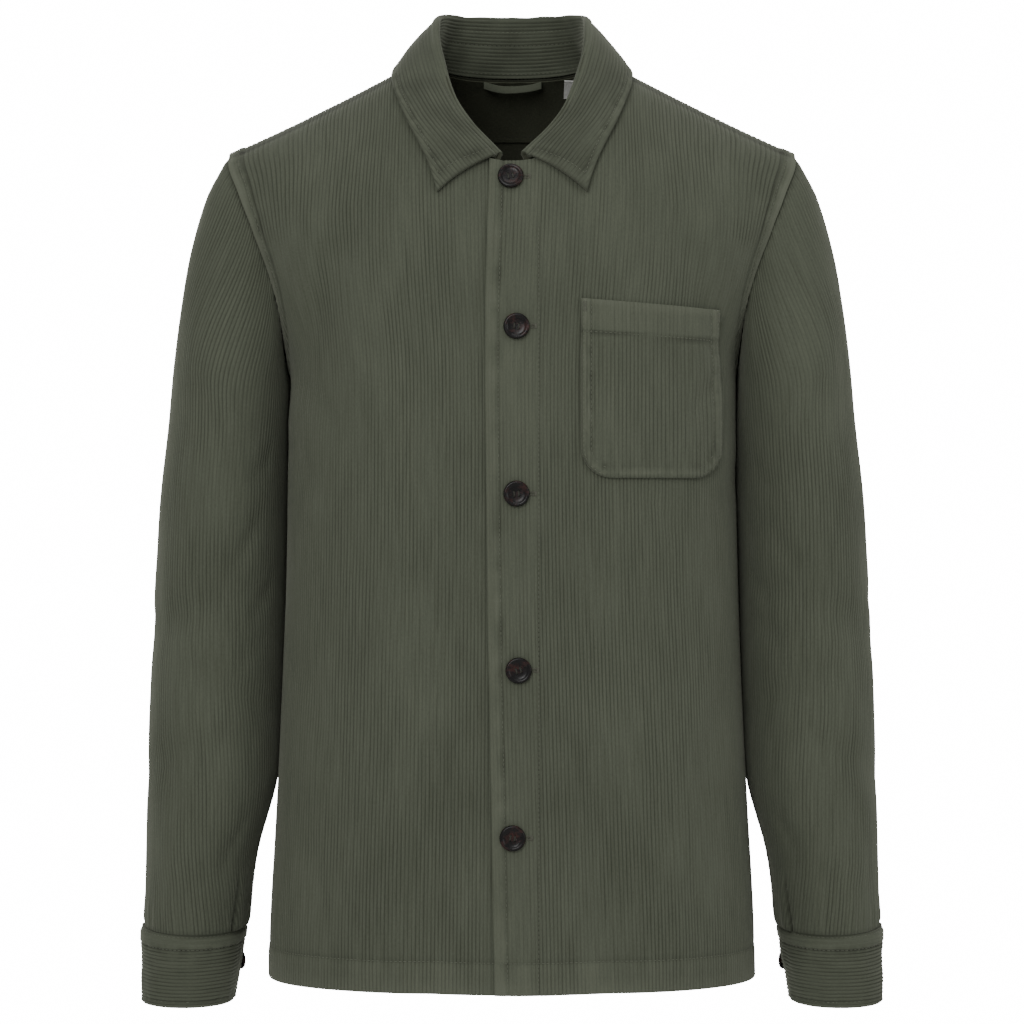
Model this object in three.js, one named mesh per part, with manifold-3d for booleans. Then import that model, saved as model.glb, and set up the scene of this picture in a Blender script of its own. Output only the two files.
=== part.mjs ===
// Corduroy overshirt jacket, filled out as if worn, with nothing inside it.
// Millimetres, +Z up. X = 0 is the centre front, +X the wearer's left, and the front faces -Y.
// Z = 0 is the level of the high shoulder points, where the garment hangs on its wearer.
import * as THREE from 'three';
import { mergeVertices } from 'three/addons/utils/BufferGeometryUtils.js';
import Module from 'manifold-3d';

// Driving sizes
const CLOTH = 1.8;
const GAP = 0.3;
const ARMHOLE_GAP = 0.45;
const CENTRE_Y = 4;
const SQUARENESS = 2.7;
const UNDERARM = -250;
const HEM = -736;
const HEM_RISE = -2;
const SHOULDER_START = 60;
const SHOULDER_SLOPE = 0.56;
const SHOULDER_SAG = 0.00037;
const SHOULDER_ROUND = 8;
const SHOULDER_REACH = 230;
const SEAM_FORWARD = 14;
const NECK_HALF = 64;
const NECK_DEPTH = 98;
const NECK_BACK_DROP = 15;
const NECK_SHAPE = 2.4;
const ARMHOLE_FRACTION = 0.79;
const ARMHOLE_TURN = -178;

// Parts of the way from the shoulder to the underarm at which the lower armhole has its corners.
const SCOOP_PARTS = [0.68, 0.74, 0.81, 0.88, 0.94, 0.98, 1];

// The two sides of the torso: which way each faces, how deep it is, and how tall its rounded top is.
const FRONT = { name: 'front', sign: -1, depth: 129, dome: 230 };
const BACK = { name: 'back', sign: 1, depth: 127, dome: 180 };

// Half width of the torso's sections. Above the underarm it is that of a section that runs on past
// the armhole.
const BODY = [
  { level: -742, halfWidth: 193.5 },
  { level: -690, halfWidth: 192.5 },
  { level: -600, halfWidth: 187.5 },
  { level: -520, halfWidth: 183.5 },
  { level: -430, halfWidth: 180 },
  { level: -330, halfWidth: 178.5 },
  { level: -250, halfWidth: 180 },
  { level: -178, halfWidth: 197 },
  { level: -120, halfWidth: 213 },
  { level: -80, halfWidth: 226 },
  { level: -40, halfWidth: 247 },
  { level: 0, halfWidth: 283 },
];

// How far the front edges lie past the centre line, on top and underneath.
const FRONT_EDGE = [
  { level: -742, over: 13.4, under: 20 },
  { level: -600, over: 15.7, under: 20 },
  { level: -440, over: 18.7, under: 20 },
  { level: -220, over: 20.5, under: 20 },
  { level: -98, over: 17.5, under: 19 },
];

// Largest folds: x and level of the top end and the bottom end, half width, and height over the cloth.
const FOLDS = [
  { side: 'front', x: 66, top: -560, bottom: -730, lean: 0.04, width: 16, height: -5 },
  { side: 'front', x: 40, top: -450, bottom: -640, lean: -0.04, width: 17, height: 3 },
  { side: 'front', x: -58, top: -540, bottom: -730, lean: -0.02, width: 17, height: -5 },
  { side: 'front', x: -92, top: -430, bottom: -700, lean: -0.03, width: 24, height: 3 },
  { side: 'front', x: 118, top: -440, bottom: -720, lean: 0.05, width: 26, height: 3 },
  { side: 'front', x: -120, top: -120, bottom: -270, lean: -0.35, width: 18, height: -4 },
  { side: 'front', x: 120, top: -120, bottom: -250, lean: 0.35, width: 18, height: -4 },
  { side: 'back', x: -70, top: -430, bottom: -730, lean: -0.05, width: 24, height: -5 },
  { side: 'back', x: 64, top: -470, bottom: -735, lean: 0.06, width: 22, height: -5 },
  { side: 'back', x: -8, top: -380, bottom: -735, lean: 0.01, width: 30, height: 4 },
  { side: 'back', x: -128, top: -170, bottom: -330, lean: -0.3, width: 20, height: -4 },
  { side: 'back', x: 128, top: -170, bottom: -320, lean: 0.3, width: 20, height: -4 },
];

// Wearer's left sleeve: outermost and innermost x, half depth and middle y of its sections.
const SLEEVE = [
  { level: -695, outer: 292.4, inner: 210, halfDepth: 46.5, middle: -15 },
  { level: -638, outer: 290.9, inner: 202.8, halfDepth: 55, middle: -13 },
  { level: -578, outer: 290, inner: 188.3, halfDepth: 59.5, middle: -9 },
  { level: -518, outer: 288.6, inner: 184.6, halfDepth: 64.5, middle: -5 },
  { level: -438, outer: 285.6, inner: 181.3, halfDepth: 68.6, middle: -1 },
  { level: -358, outer: 281, inner: 179.7, halfDepth: 72.2, middle: 2 },
  { level: -300, outer: 275.2, inner: 179.2, halfDepth: 74.9, middle: 3 },
  { level: -250, outer: 270.6, inner: 180.6, halfDepth: 80, middle: 4 },
  { level: -198, outer: 263.2, inner: 181, halfDepth: 75, middle: 4 },
  { level: -158, outer: 256, inner: 181, halfDepth: 69, middle: 4 },
  { level: -118, outer: 244.5, inner: 181, halfDepth: 58, middle: 4 },
  { level: -98, outer: 234.5, inner: 181, halfDepth: 42, middle: 4 },
  { level: -78, outer: 223, inner: 181, halfDepth: 12, middle: 4 },
];
const SLEEVE_FADE = 120;

// Folds of a sleeve: the angle round it from its outer line (positive to the front), the level of its middle,
// how steep it runs, its half width and its half length round the arm, and its height.
const SLEEVE_FOLDS = [
  { angle: 70, level: -448, lean: 0.35, width: 15, reach: 55, height: -3.5 },
  { angle: 105, level: -505, lean: -0.4, width: 13, reach: 50, height: -3.5 },
  { angle: 60, level: -560, lean: 0.3, width: 14, reach: 45, height: -2.5 },
  { angle: -80, level: -430, lean: 0.35, width: 16, reach: 55, height: -3.5 },
  { angle: -110, level: -490, lean: -0.35, width: 14, reach: 50, height: -3 },
  { angle: -60, level: -600, lean: 0.3, width: 15, reach: 45, height: -2.5 },
  { angle: 85, level: -655, lean: 0.2, width: 10, reach: 60, height: -2 },
];

// Wearer's left cuff, a strip once round the arm whose end laps over its start on the inner side,
// towards the back.
const CUFF = { top: -695.3, bottom: -756, topX: 253.2, bottomX: 258, topHalf: 41.6, bottomHalf: 36.4 };
const CUFF_DEPTH = { top: 44.5, bottom: 40, middle: -15 };
const CUFF_CLOTH = 2.4;
const CUFF_START = 198;
const CUFF_TURN = 384;
const CUFF_LAP = 34;

// Collar, one row for each place from the centre back (0) to the front end (1).
// The fold's place, and x and y of the leaf's outer edge, which lies on the body.
const COLLAR = [
  { at: 0, foldX: 0, foldY: 50, foldZ: 31, edgeX: 0, edgeY: 81 },
  { at: 0.2, foldX: 34, foldY: 45, foldZ: 31, edgeX: 49, edgeY: 71 },
  { at: 0.4, foldX: 57, foldY: 20, foldZ: 30, edgeX: 84, edgeY: 38 },
  { at: 0.55, foldX: 61, foldY: -12, foldZ: 20, edgeX: 92, edgeY: -5 },
  { at: 0.7, foldX: 57.5, foldY: -48, foldZ: -8, edgeX: 92.5, edgeY: -41 },
  { at: 0.85, foldX: 41, foldY: -82, foldZ: -54, edgeX: 81, edgeY: -77.5 },
  { at: 1, foldX: 10, foldY: -101, foldZ: -91, edgeX: 57.4, edgeY: -108.6 },
];
const COLLAR_CLOTH = 2.4;
const COLLAR_BEND = 2.6;
const COLLAR_END_X = 10;
const LEAF_CLEAR = 3;
const LEAF_CROWN = 5;

// Pocket on the wearer's left front.
const POCKET = { left: 52.8, right: 162.5, top: -204.5, outerDrop: 6, bottom: -342, corner: 24, rise: 0.85 };

// Front buttons: x and level of each centre.
const BUTTONS = [
  { name: 'button_1', x: -1.1, level: -111 },
  { name: 'button_2', x: 3.4, level: -226 },
  { name: 'button_3', x: 3.4, level: -354 },
  { name: 'button_4', x: 5, level: -489 },
  { name: 'button_5', x: 0.4, level: -617 },
];
const BUTTON = { radius: 10, height: 3.6, dish: 6.2, holeRadius: 1.1, holeSpread: 1.9, standOff: 0.55 };
const CUFF_BUTTON_SCALE = 0.75;

// How far the top front stands over the one beneath it, and where that lift fades out.
const LAP_LIFT = CLOTH + GAP + 0.35;
const LAP_FADE_START = 24;
const LAP_FADE_END = 50;

const FACING = { reach: 0.33, depth: 60, cloth: 1, clear: 1.1 };
const LOOP = { start: -23, end: 24, width: 6, cloth: 1.4, top: -17.5, sag: 4.5, bow: 3 };
const LABEL = { left: 42, right: 55, top: -12, bottom: -25, cloth: 0.6 };

// Colours
const clothMaterial = (color) => new THREE.MeshStandardMaterial({ color, roughness: 0.95, metalness: 0 });
const OLIVE = 0x4a4d40;
const OLIVE_DARK = 0x24261e;
const HORN = 0x1d1513;
const LABEL_WHITE = 0xd8d8d0;

const degrees = THREE.MathUtils.degToRad;
const clamp = THREE.MathUtils.clamp;
const lerp = THREE.MathUtils.lerp;
const smooth = (t) => clamp(t, 0, 1) ** 2 * (3 - 2 * clamp(t, 0, 1));
const bell = (t) => Math.exp(-t * t);
const range = (count, from, to) => Array.from({ length: count + 1 }, (_, i) => lerp(from, to, i / count));

// Smooth value of one column of a table whose rows rise in `key`.
function lookup(table, key, column, at) {
  const last = table.length - 1;
  if (at <= table[0][key]) return table[0][column];
  if (at >= table[last][key]) return table[last][column];
  let i = 0;
  while (at > table[i + 1][key]) i++;
  const tangent = (k) => {
    const before = table[Math.max(k - 1, 0)];
    const after = table[Math.min(k + 1, last)];
    return (after[column] - before[column]) / (after[key] - before[key]);
  };
  const span = table[i + 1][key] - table[i][key];
  const t = (at - table[i][key]) / span;
  const ease = t * t * (3 - 2 * t);
  const leave = t * (1 - t) ** 2;
  const arrive = t * t * (t - 1);
  return lerp(table[i][column], table[i + 1][column], ease)
    + span * (leave * tangent(i) + arrive * tangent(i + 1));
}

// Arc lengths along a quarter of the torso's section, from the centre line to the side.
function quarterArc(halfWidth, depth) {
  const power = 2 / SQUARENESS;
  const points = range(90, 0, Math.PI / 2).map((a) => ({
    x: halfWidth * Math.sin(a) ** power,
    out: depth * Math.max(Math.cos(a), 0) ** power,
    length: 0,
  }));
  for (let i = 1; i < points.length; i++) {
    const step = Math.hypot(points[i].x - points[i - 1].x, points[i].out - points[i - 1].out);
    points[i].length = points[i - 1].length + step;
  }
  return points;
}

function alongArc(points, length) {
  let i = 1;
  while (i < points.length - 1 && points[i].length < length) i++;
  const a = points[i - 1];
  const b = points[i];
  const t = (length - a.length) / (b.length - a.length);
  return { x: lerp(a.x, b.x, t), out: lerp(a.out, b.out, t) };
}

// `rise` runs up a side of the torso: below zero it is the drop under the rounded top, and `ridge` is
// the top line.
const ridge = (side) => (Math.PI / 2) * Math.sqrt((side.depth ** 2 + side.dome ** 2) / 2);
const topAngle = (side, rise) => (Math.PI / 2) * clamp(rise / ridge(side), 0, 1);
const levelAt = (side, rise) => (rise < 0
  ? rise - side.dome
  : side.dome * (Math.sin(topAngle(side, rise)) - 1));
const riseAt = (side, level) => (level < -side.dome
  ? level + side.dome
  : (Math.asin(clamp(1 + level / side.dome, 0, 1)) / (Math.PI / 2)) * ridge(side));
const depthAt = (side, rise) => side.depth * Math.cos(topAngle(side, rise));
const halfWidthAt = (level) => lookup(BODY, 'level', 'halfWidth', level);
const sectionArc = (side, rise) => quarterArc(halfWidthAt(levelAt(side, rise)), depthAt(side, rise));
const sectionLength = (side, rise) => sectionArc(side, rise).at(-1).length;

function shoulderDrop(x) {
  const past = Math.abs(x) - SHOULDER_START;
  const t = (past + Math.hypot(past, SHOULDER_ROUND)) / 2;
  return -SHOULDER_SLOPE * t + SHOULDER_SAG * t * t;
}

const heightAt = (x, level) => level + smooth(1 + level / SHOULDER_REACH) * shoulderDrop(x);

// Point of the torso at a signed fraction of the section's quarter arc and a rise.
function torso(side, fraction, rise) {
  const over = rise - ridge(side);
  if (over > 0) {
    const other = side === FRONT ? BACK : FRONT;
    return torso(other, fraction, ridge(other) - over);
  }
  const level = levelAt(side, rise);
  const arc = sectionArc(side, rise);
  const place = alongArc(arc, Math.abs(fraction) * arc.at(-1).length);
  const x = Math.sign(fraction) * place.x;
  return new THREE.Vector3(x, CENTRE_Y + side.sign * place.out, heightAt(x, level));
}

// Outward normal of a surface given as point(a, b).
function normalOf(point, a, b, stepA, stepB, outward) {
  const alongA = point(a + stepA, b).sub(point(a - stepA, b));
  const alongB = point(a, b + stepB).sub(point(a, b - stepB));
  return alongA.cross(alongB).normalize().multiplyScalar(outward);
}

function torsoNormal(side, fraction, rise) {
  const over = rise - ridge(side);
  if (over > 0) {
    const other = side === FRONT ? BACK : FRONT;
    return torsoNormal(other, fraction, ridge(other) - over);
  }
  const inside = clamp(fraction, -0.99, 0.99);
  const outward = side === FRONT ? 1 : -1;
  const tall = Math.min(rise, ridge(side) - 3);
  return normalOf((f, r) => torso(side, f, r), inside, tall, 0.008, 2.5, outward);
}

function foldHeight(side, x, level) {
  return FOLDS.filter((fold) => fold.side === side.name).reduce((sum, fold) => {
    const middle = fold.x + fold.lean * (fold.top - level);
    const along = (level - fold.bottom) / (fold.top - fold.bottom);
    const ends = smooth(along * 3 + 0.6) * smooth((1 - along) * 3 + 0.3);
    return sum + fold.height * bell((x - middle) / fold.width) * ends;
  }, 0);
}

// Point on the cloth of the torso, with its folds, lifted by `lift` along its normal.
function onTorso(side, fraction, rise, lift) {
  const point = torso(side, fraction, rise);
  const fold = foldHeight(side, point.x, levelAt(side, rise));
  return point.addScaledVector(torsoNormal(side, fraction, rise), lift + fold);
}

const bothWays = (half) => [...half.slice(1).reverse().map((c) => -c), ...half];

// Closed wall over a patch of a surface. Each strip between two columns is cut off at its own bottom and top.
function wall({ columns, rows, bottom, top, outer, inner, turned }) {
  const spots = new Map();
  const outside = [];
  const inside = [];
  const spotOf = (column, row) => {
    const point = outer(column, row);
    const key = point.toArray().map((v) => Math.round(v * 500)).join();
    if (!spots.has(key)) {
      spots.set(key, outside.length);
      outside.push(point);
      inside.push(inner(column, row));
    }
    return spots.get(key);
  };
  const faces = [];
  for (let c = 0; c + 1 < columns.length; c++) {
    const [left, right] = [columns[c], columns[c + 1]];
    const limits = [bottom(left, 1), top(left, 1), bottom(right, -1), top(right, -1)];
    for (let r = 0; r + 1 < rows.length; r++) {
      const leftLow = spotOf(left, clamp(rows[r], limits[0], limits[1]));
      const leftHigh = spotOf(left, clamp(rows[r + 1], limits[0], limits[1]));
      const rightLow = spotOf(right, clamp(rows[r], limits[2], limits[3]));
      const rightHigh = spotOf(right, clamp(rows[r + 1], limits[2], limits[3]));
      const upRight = outside[leftLow].distanceTo(outside[rightHigh]);
      const upLeft = outside[rightLow].distanceTo(outside[leftHigh]);
      const rising = upRight < upLeft;
      const pair = rising
        ? [[leftLow, rightLow, rightHigh], [leftLow, rightHigh, leftHigh]]
        : [[leftLow, rightLow, leftHigh], [rightLow, rightHigh, leftHigh]];
      for (const [a, b, d] of pair) {
        if (a !== b && b !== d && d !== a) faces.push(turned ? [a, d, b] : [a, b, d]);
      }
    }
  }
  const used = new Set(faces.flat());
  const shift = outside.length;
  const index = [];
  const edges = new Set();
  for (const [a, b, d] of faces) {
    index.push(a, b, d, d + shift, b + shift, a + shift);
    edges.add(`${a},${b}`).add(`${b},${d}`).add(`${d},${a}`);
  }
  for (const edge of edges) {
    const [a, b] = edge.split(',').map(Number);
    if (edges.has(`${b},${a}`)) continue;
    index.push(b, a, a + shift, b, a + shift, b + shift);
  }
  const all = [...outside, ...inside];
  const renamed = new Map();
  const positions = [];
  for (const spot of index) {
    if (renamed.has(spot) || !used.has(spot % shift)) continue;
    renamed.set(spot, positions.length / 3);
    positions.push(...all[spot].toArray());
  }
  const geometry = new THREE.BufferGeometry();
  geometry.setAttribute('position', new THREE.Float32BufferAttribute(positions, 3));
  geometry.setIndex(index.map((spot) => renamed.get(spot)));
  return geometry;
}

// The same piece for the other side of the body.
function mirrored(geometry) {
  const copy = geometry.clone();
  copy.scale(-1, 1, 1);
  const index = Array.from(copy.index.array);
  for (let i = 0; i < index.length; i += 3) [index[i + 1], index[i + 2]] = [index[i + 2], index[i + 1]];
  copy.setIndex(index);
  return copy;
}

// Outlines of the cut pieces, as levels over a fraction of the quarter arc. The arc is about CHEST_ARC long
// at the armhole and WAIST_ARC under the arm.
const CHEST_ARC = 280;
const WAIST_ARC = 262;
const EDGE_STEP = 0.05;
const SAME = 1e-6;
const armEdge = ARMHOLE_FRACTION - ARMHOLE_GAP / CHEST_ARC;
const sideEdge = 1 - GAP / 2 / WAIST_ARC;
const neckFraction = NECK_HALF / BODY.at(-1).halfWidth;
const superQuarter = (t, power) => (1 - clamp(t, 0, 1) ** power) ** (1 / power);

function neckLevel(side, fraction) {
  const drop = side === FRONT ? NECK_DEPTH : NECK_BACK_DROP;
  return -drop * superQuarter(Math.abs(fraction) / neckFraction, NECK_SHAPE);
}

function armholeLevel(fraction) {
  const across = (Math.abs(fraction) - ARMHOLE_FRACTION) / (1 - ARMHOLE_FRACTION);
  return ARMHOLE_TURN + (UNDERARM - ARMHOLE_TURN) * superQuarter(1 - across, 2);
}

// Rise of the top edge of a torso piece. `toward` says from which side of the column it is asked.
function topEdge(side, fraction, toward) {
  const size = Math.abs(fraction);
  const outward = Math.sign(fraction) * toward > 0 || fraction === 0;
  const seam = SEAM_FORWARD + (side === FRONT ? GAP : -GAP);
  const shoulder = side === FRONT ? ridge(FRONT) - seam : ridge(BACK) + seam;
  if (size < neckFraction - SAME || (size < neckFraction + SAME && !outward)) {
    return Math.min(riseAt(side, neckLevel(side, fraction)), shoulder);
  }
  if (size < armEdge - SAME || (size < armEdge + SAME && !outward)) return shoulder;
  const below = ARMHOLE_GAP * smooth((size - armEdge) / EDGE_STEP);
  return riseAt(side, armholeLevel(Math.max(size, ARMHOLE_FRACTION)) - below);
}

const hemRise = (side, fraction) => riseAt(side, HEM + HEM_RISE * (1 - Math.abs(fraction)) ** 2);

// The armhole's edge of one side, from the ridge (0) to the underarm (1), as places on the torso.
function armholePlaces(side) {
  const turnRise = riseAt(side, ARMHOLE_TURN);
  const places = range(24, ridge(side), turnRise).map((rise) => ({ fraction: ARMHOLE_FRACTION, rise }));
  for (const angle of range(24, 0, Math.PI / 2).slice(1)) {
    const fraction = ARMHOLE_FRACTION + (1 - ARMHOLE_FRACTION) * (1 - Math.cos(angle));
    const level = ARMHOLE_TURN + (UNDERARM - ARMHOLE_TURN) * Math.sin(angle);
    places.push({ fraction, rise: riseAt(side, level) });
  }
  return measured(side, places);
}

function measured(side, places) {
  let length = 0;
  let before = null;
  for (const place of places) {
    const point = torso(place.side ?? side, place.fraction, place.rise);
    if (before) length += point.distanceTo(before);
    place.length = length;
    before = point;
  }
  return places;
}

function placeAt(places, part) {
  const length = clamp(part, 0, 1) * places.at(-1).length;
  let i = 1;
  while (i < places.length - 1 && places[i].length < length) i++;
  const [a, b] = [places[i - 1], places[i]];
  const t = (length - a.length) / (b.length - a.length);
  const side = t < 0.5 ? a.side : b.side;
  return { side, fraction: lerp(a.fraction, b.fraction, t), rise: lerp(a.rise, b.rise, t) };
}

// Body panels. The sleeves start at the same places of the armhole as the panels' rows and columns end at.
const armholeTop = (side) => (side === FRONT ? ridge(FRONT) - SEAM_FORWARD : ridge(BACK));
const armholeRows = (side) => range(7, riseAt(side, ARMHOLE_TURN), armholeTop(side));
const sharedRows = (side) => [
  ...range(10, riseAt(side, HEM - 1), riseAt(side, -300)),
  ...range(2, riseAt(side, -300), riseAt(side, UNDERARM - 6)).slice(1),
  ...range(3, riseAt(side, UNDERARM - 6), riseAt(side, ARMHOLE_TURN)).slice(1),
  ...armholeRows(side).slice(1),
];
const armholes = new Map([[FRONT, armholePlaces(FRONT)], [BACK, armholePlaces(BACK)]]);
const panelColumns = (side) => [
  ...range(4, 0, neckFraction * 0.9),
  neckFraction * 0.965,
  neckFraction * 0.993,
  ...range(6, neckFraction, armEdge),
  ...SCOOP_PARTS.slice(0, -1).map((part) => placeAt(armholes.get(side), part).fraction),
  sideEdge,
];

function edgeShift(level, column) {
  const at = (l) => lookup(FRONT_EDGE, 'level', column, l) / sectionLength(FRONT, riseAt(FRONT, l));
  return level > -NECK_DEPTH ? 0 : at(level) - at(-NECK_DEPTH);
}

function lapLift(x) {
  return LAP_LIFT * (1 - smooth((x - LAP_FADE_START) / (LAP_FADE_END - LAP_FADE_START)));
}

// One front. Columns count from the front edge, below zero past the centre line, to the side seam at 1.
function frontPanel(column, onTop) {
  const shifts = new Map();
  const shiftAt = (rise) => {
    if (!shifts.has(rise)) shifts.set(rise, edgeShift(levelAt(FRONT, rise), column));
    return shifts.get(rise);
  };
  const fractionOf = (c, rise) => c - shiftAt(rise) * (1 - smooth((c - 0.25) / 0.5));
  const mirror = onTop ? 1 : -1;
  const surface = (c, rise, lift) => {
    const f = fractionOf(c, rise);
    const raised = onTop ? lapLift(torso(FRONT, f, rise).x) : 0;
    const point = onTorso(FRONT, f * mirror, rise, lift + raised);
    point.x *= mirror;
    return point;
  };
  const topLevel = riseAt(FRONT, -NECK_DEPTH);
  const edge = lookup(FRONT_EDGE, 'level', column, -NECK_DEPTH) / sectionLength(FRONT, topLevel);
  const geometry = wall({
    columns: [...range(2, -edge, 0), ...panelColumns(FRONT).slice(1)],
    rows: sharedRows(FRONT),
    bottom: (c) => hemRise(FRONT, c),
    top: (c, toward) => topEdge(FRONT, c, toward),
    outer: (c, rise) => surface(c, rise, 0),
    inner: (c, rise) => surface(c, rise, -CLOTH),
    turned: false,
  });
  return onTop ? geometry : mirrored(geometry);
}

function backPanel() {
  return wall({
    columns: bothWays(panelColumns(BACK)),
    rows: [...sharedRows(BACK), ridge(BACK) + SEAM_FORWARD / 2, ridge(BACK) + SEAM_FORWARD],
    bottom: (c) => hemRise(BACK, c),
    top: (c, toward) => topEdge(BACK, c, toward),
    outer: (c, rise) => onTorso(BACK, c, rise, 0),
    inner: (c, rise) => onTorso(BACK, c, rise, -CLOTH),
    turned: true,
  });
}

// Back-neck facing, on the inside of the back.
function neckFacing() {
  const lift = -CLOTH - FACING.clear;
  const half = panelColumns(BACK).filter((c) => c < FACING.reach);
  const reach = half.at(-1);
  return wall({
    columns: bothWays(half),
    rows: sharedRows(BACK).filter((rise) => rise > riseAt(BACK, -FACING.depth - 25)),
    bottom: (c) => riseAt(BACK, -FACING.depth * (1 - 0.5 * (c / reach) ** 4)),
    top: (c) => Math.min(riseAt(BACK, neckLevel(BACK, c)), riseAt(BACK, -2.5)),
    outer: (c, rise) => onTorso(BACK, c, rise, lift),
    inner: (c, rise) => onTorso(BACK, c, rise, lift - FACING.cloth),
    turned: true,
  });
}

// Sleeve of the wearer's left arm
function sleeveSection(level) {
  const at = (column) => lookup(SLEEVE, 'level', column, level);
  const [outer, inner] = [at('outer'), at('inner')];
  return { x: (outer + inner) / 2, y: at('middle'), half: (outer - inner) / 2, depth: at('halfDepth') };
}

function halfRound({ half, depth }) {
  const points = range(72, 0, Math.PI).map((angle) => ({ angle, length: 0 }));
  for (let i = 1; i < points.length; i++) {
    const across = half * (Math.cos(points[i].angle) - Math.cos(points[i - 1].angle));
    const along = depth * (Math.sin(points[i].angle) - Math.sin(points[i - 1].angle));
    points[i].length = points[i - 1].length + Math.hypot(across, along);
  }
  return points;
}

const sleeveWidth = halfRound(sleeveSection(UNDERARM)).at(-1).length;

// Where a sleeve's column starts on the armhole. Columns are arc lengths from the outer line, positive
// to the front.
function sleeveStart(column) {
  const side = column >= 0 ? FRONT : BACK;
  const place = placeAt(armholes.get(side), Math.abs(column) / sleeveWidth);
  const point = torso(side, place.fraction, place.rise);
  const normal = torsoNormal(side, place.fraction, place.rise);
  const low = smooth(Math.abs(column) / sleeveWidth * 2 - 1);
  point.addScaledVector(new THREE.Vector3(1, 0, 0), GAP * 2 * low);
  return { point, normal };
}

// Columns whose starts match the ends of a torso panel's rows and columns.
function sleeveColumns(side) {
  const lead = side === FRONT ? [ridge(FRONT), ridge(FRONT) - SEAM_FORWARD / 2] : [];
  const places = armholes.get(side);
  const parts = [...lead, ...armholeRows(side).reverse()].map((rise) => {
    const next = Math.max(places.findIndex((place) => place.rise <= rise + 1e-9), 1);
    const [a, b] = [places[next - 1], places[next]];
    return lerp(a.length, b.length, (a.rise - rise) / (a.rise - b.rise)) / places.at(-1).length;
  });
  return [...parts, ...SCOOP_PARTS].map((part) => part * sleeveWidth);
}

function sleeveAngle(column, level) {
  const arc = halfRound(sleeveSection(level));
  const total = arc.at(-1).length;
  const size = Math.abs(column);
  const length = level > UNDERARM ? (size / sleeveWidth) * total : Math.min(size, total);
  let i = 1;
  while (i < arc.length - 1 && arc[i].length < length) i++;
  const t = (length - arc[i - 1].length) / (arc[i].length - arc[i - 1].length);
  return Math.sign(column) * lerp(arc[i - 1].angle, arc[i].angle, t);
}

function sleeveRound(angle, level) {
  const { x, y, half, depth } = sleeveSection(level);
  return new THREE.Vector3(x + half * Math.cos(angle), y - depth * Math.sin(angle), level);
}

function sleeveFold(angle, level) {
  const around = THREE.MathUtils.radToDeg(angle);
  return SLEEVE_FOLDS.reduce((sum, fold) => {
    const off = around - fold.angle;
    const middle = fold.level + fold.lean * off;
    return sum + fold.height * bell((level - middle) / fold.width) * bell(off / fold.reach);
  }, 0);
}

function sleevePoint(column, level) {
  const atSeam = level <= UNDERARM && Math.abs(column) > halfRound(sleeveSection(level)).at(-1).length - 0.01;
  if (atSeam) return sleeveRound(Math.PI, level);
  const start = sleeveStart(column);
  const angle = sleeveAngle(column, level);
  const point = sleeveRound(angle, level);
  const fade = 1 - smooth((start.point.z - level) / SLEEVE_FADE);
  const there = sleeveRound(sleeveAngle(column, start.point.z), start.point.z);
  return point.add(start.point.clone().sub(there).multiplyScalar(fade));
}

function sleeveNormal(column, level) {
  const start = sleeveStart(column);
  const inside = clamp(column, -sleeveWidth + 4, sleeveWidth - 4);
  const limit = Math.min(level, sleeveStart(inside).point.z - 2);
  const own = normalOf(sleevePoint, inside, limit, 2, 1.5, -1);
  const low = smooth((Math.abs(column) / sleeveWidth - 0.3) / 0.3);
  const share = Math.max(smooth((start.point.z - level) / 14), low);
  return own.multiplyScalar(share).addScaledVector(start.normal, 1 - share).normalize();
}

// Level where a column of the sleeve runs out into the underarm seam, or the sleeve's end.
function sleeveEnd(column) {
  const bottom = SLEEVE[0].level;
  let [low, high] = [bottom, UNDERARM];
  if (Math.abs(column) > sleeveWidth - 0.01) return UNDERARM;
  if (Math.abs(column) <= halfRound(sleeveSection(bottom)).at(-1).length) return bottom;
  for (let i = 0; i < 30; i++) {
    const middle = (low + high) / 2;
    if (halfRound(sleeveSection(middle)).at(-1).length > Math.abs(column)) high = middle;
    else low = middle;
  }
  return low;
}

function sleeve() {
  const surface = (column, level, lift) => {
    const faded = smooth((sleeveStart(column).point.z - level) / 60);
    const fold = sleeveFold(sleeveAngle(column, level), level) * faded;
    const seam = 1 - smooth((Math.abs(column) - halfRound(sleeveSection(level)).at(-1).length + 30) / 30);
    return sleevePoint(column, level).addScaledVector(sleeveNormal(column, level), lift + fold * seam);
  };
  return wall({
    columns: [...sleeveColumns(BACK).slice(1).reverse().map((c) => -c), ...sleeveColumns(FRONT)],
    rows: [
      ...range(11, SLEEVE[0].level, UNDERARM - 4),
      ...range(7, UNDERARM - 4, SLEEVE.at(-1).level + 3).slice(1),
    ],
    bottom: (c) => sleeveEnd(c),
    top: (c) => Math.max(sleeveStart(c).point.z, sleeveEnd(c)),
    outer: (c, level) => surface(c, level, 0),
    inner: (c, level) => surface(c, level, -CLOTH),
    turned: true,
  });
}

// Cuff of the wearer's left arm
function cuffPoint(degreesRound, level, lift) {
  const t = (level - CUFF.bottom) / (CUFF.top - CUFF.bottom);
  const lap = (degreesRound - (CUFF_START + CUFF_TURN - CUFF_LAP)) / 12;
  const proud = lift + (CUFF_CLOTH + GAP) * smooth(lap);
  const angle = degrees(degreesRound);
  const half = lerp(CUFF.bottomHalf, CUFF.topHalf, t) + proud;
  const depth = lerp(CUFF_DEPTH.bottom, CUFF_DEPTH.top, t) + proud;
  const x = lerp(CUFF.bottomX, CUFF.topX, t);
  return new THREE.Vector3(x + half * Math.cos(angle), CUFF_DEPTH.middle - depth * Math.sin(angle), level);
}

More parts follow.
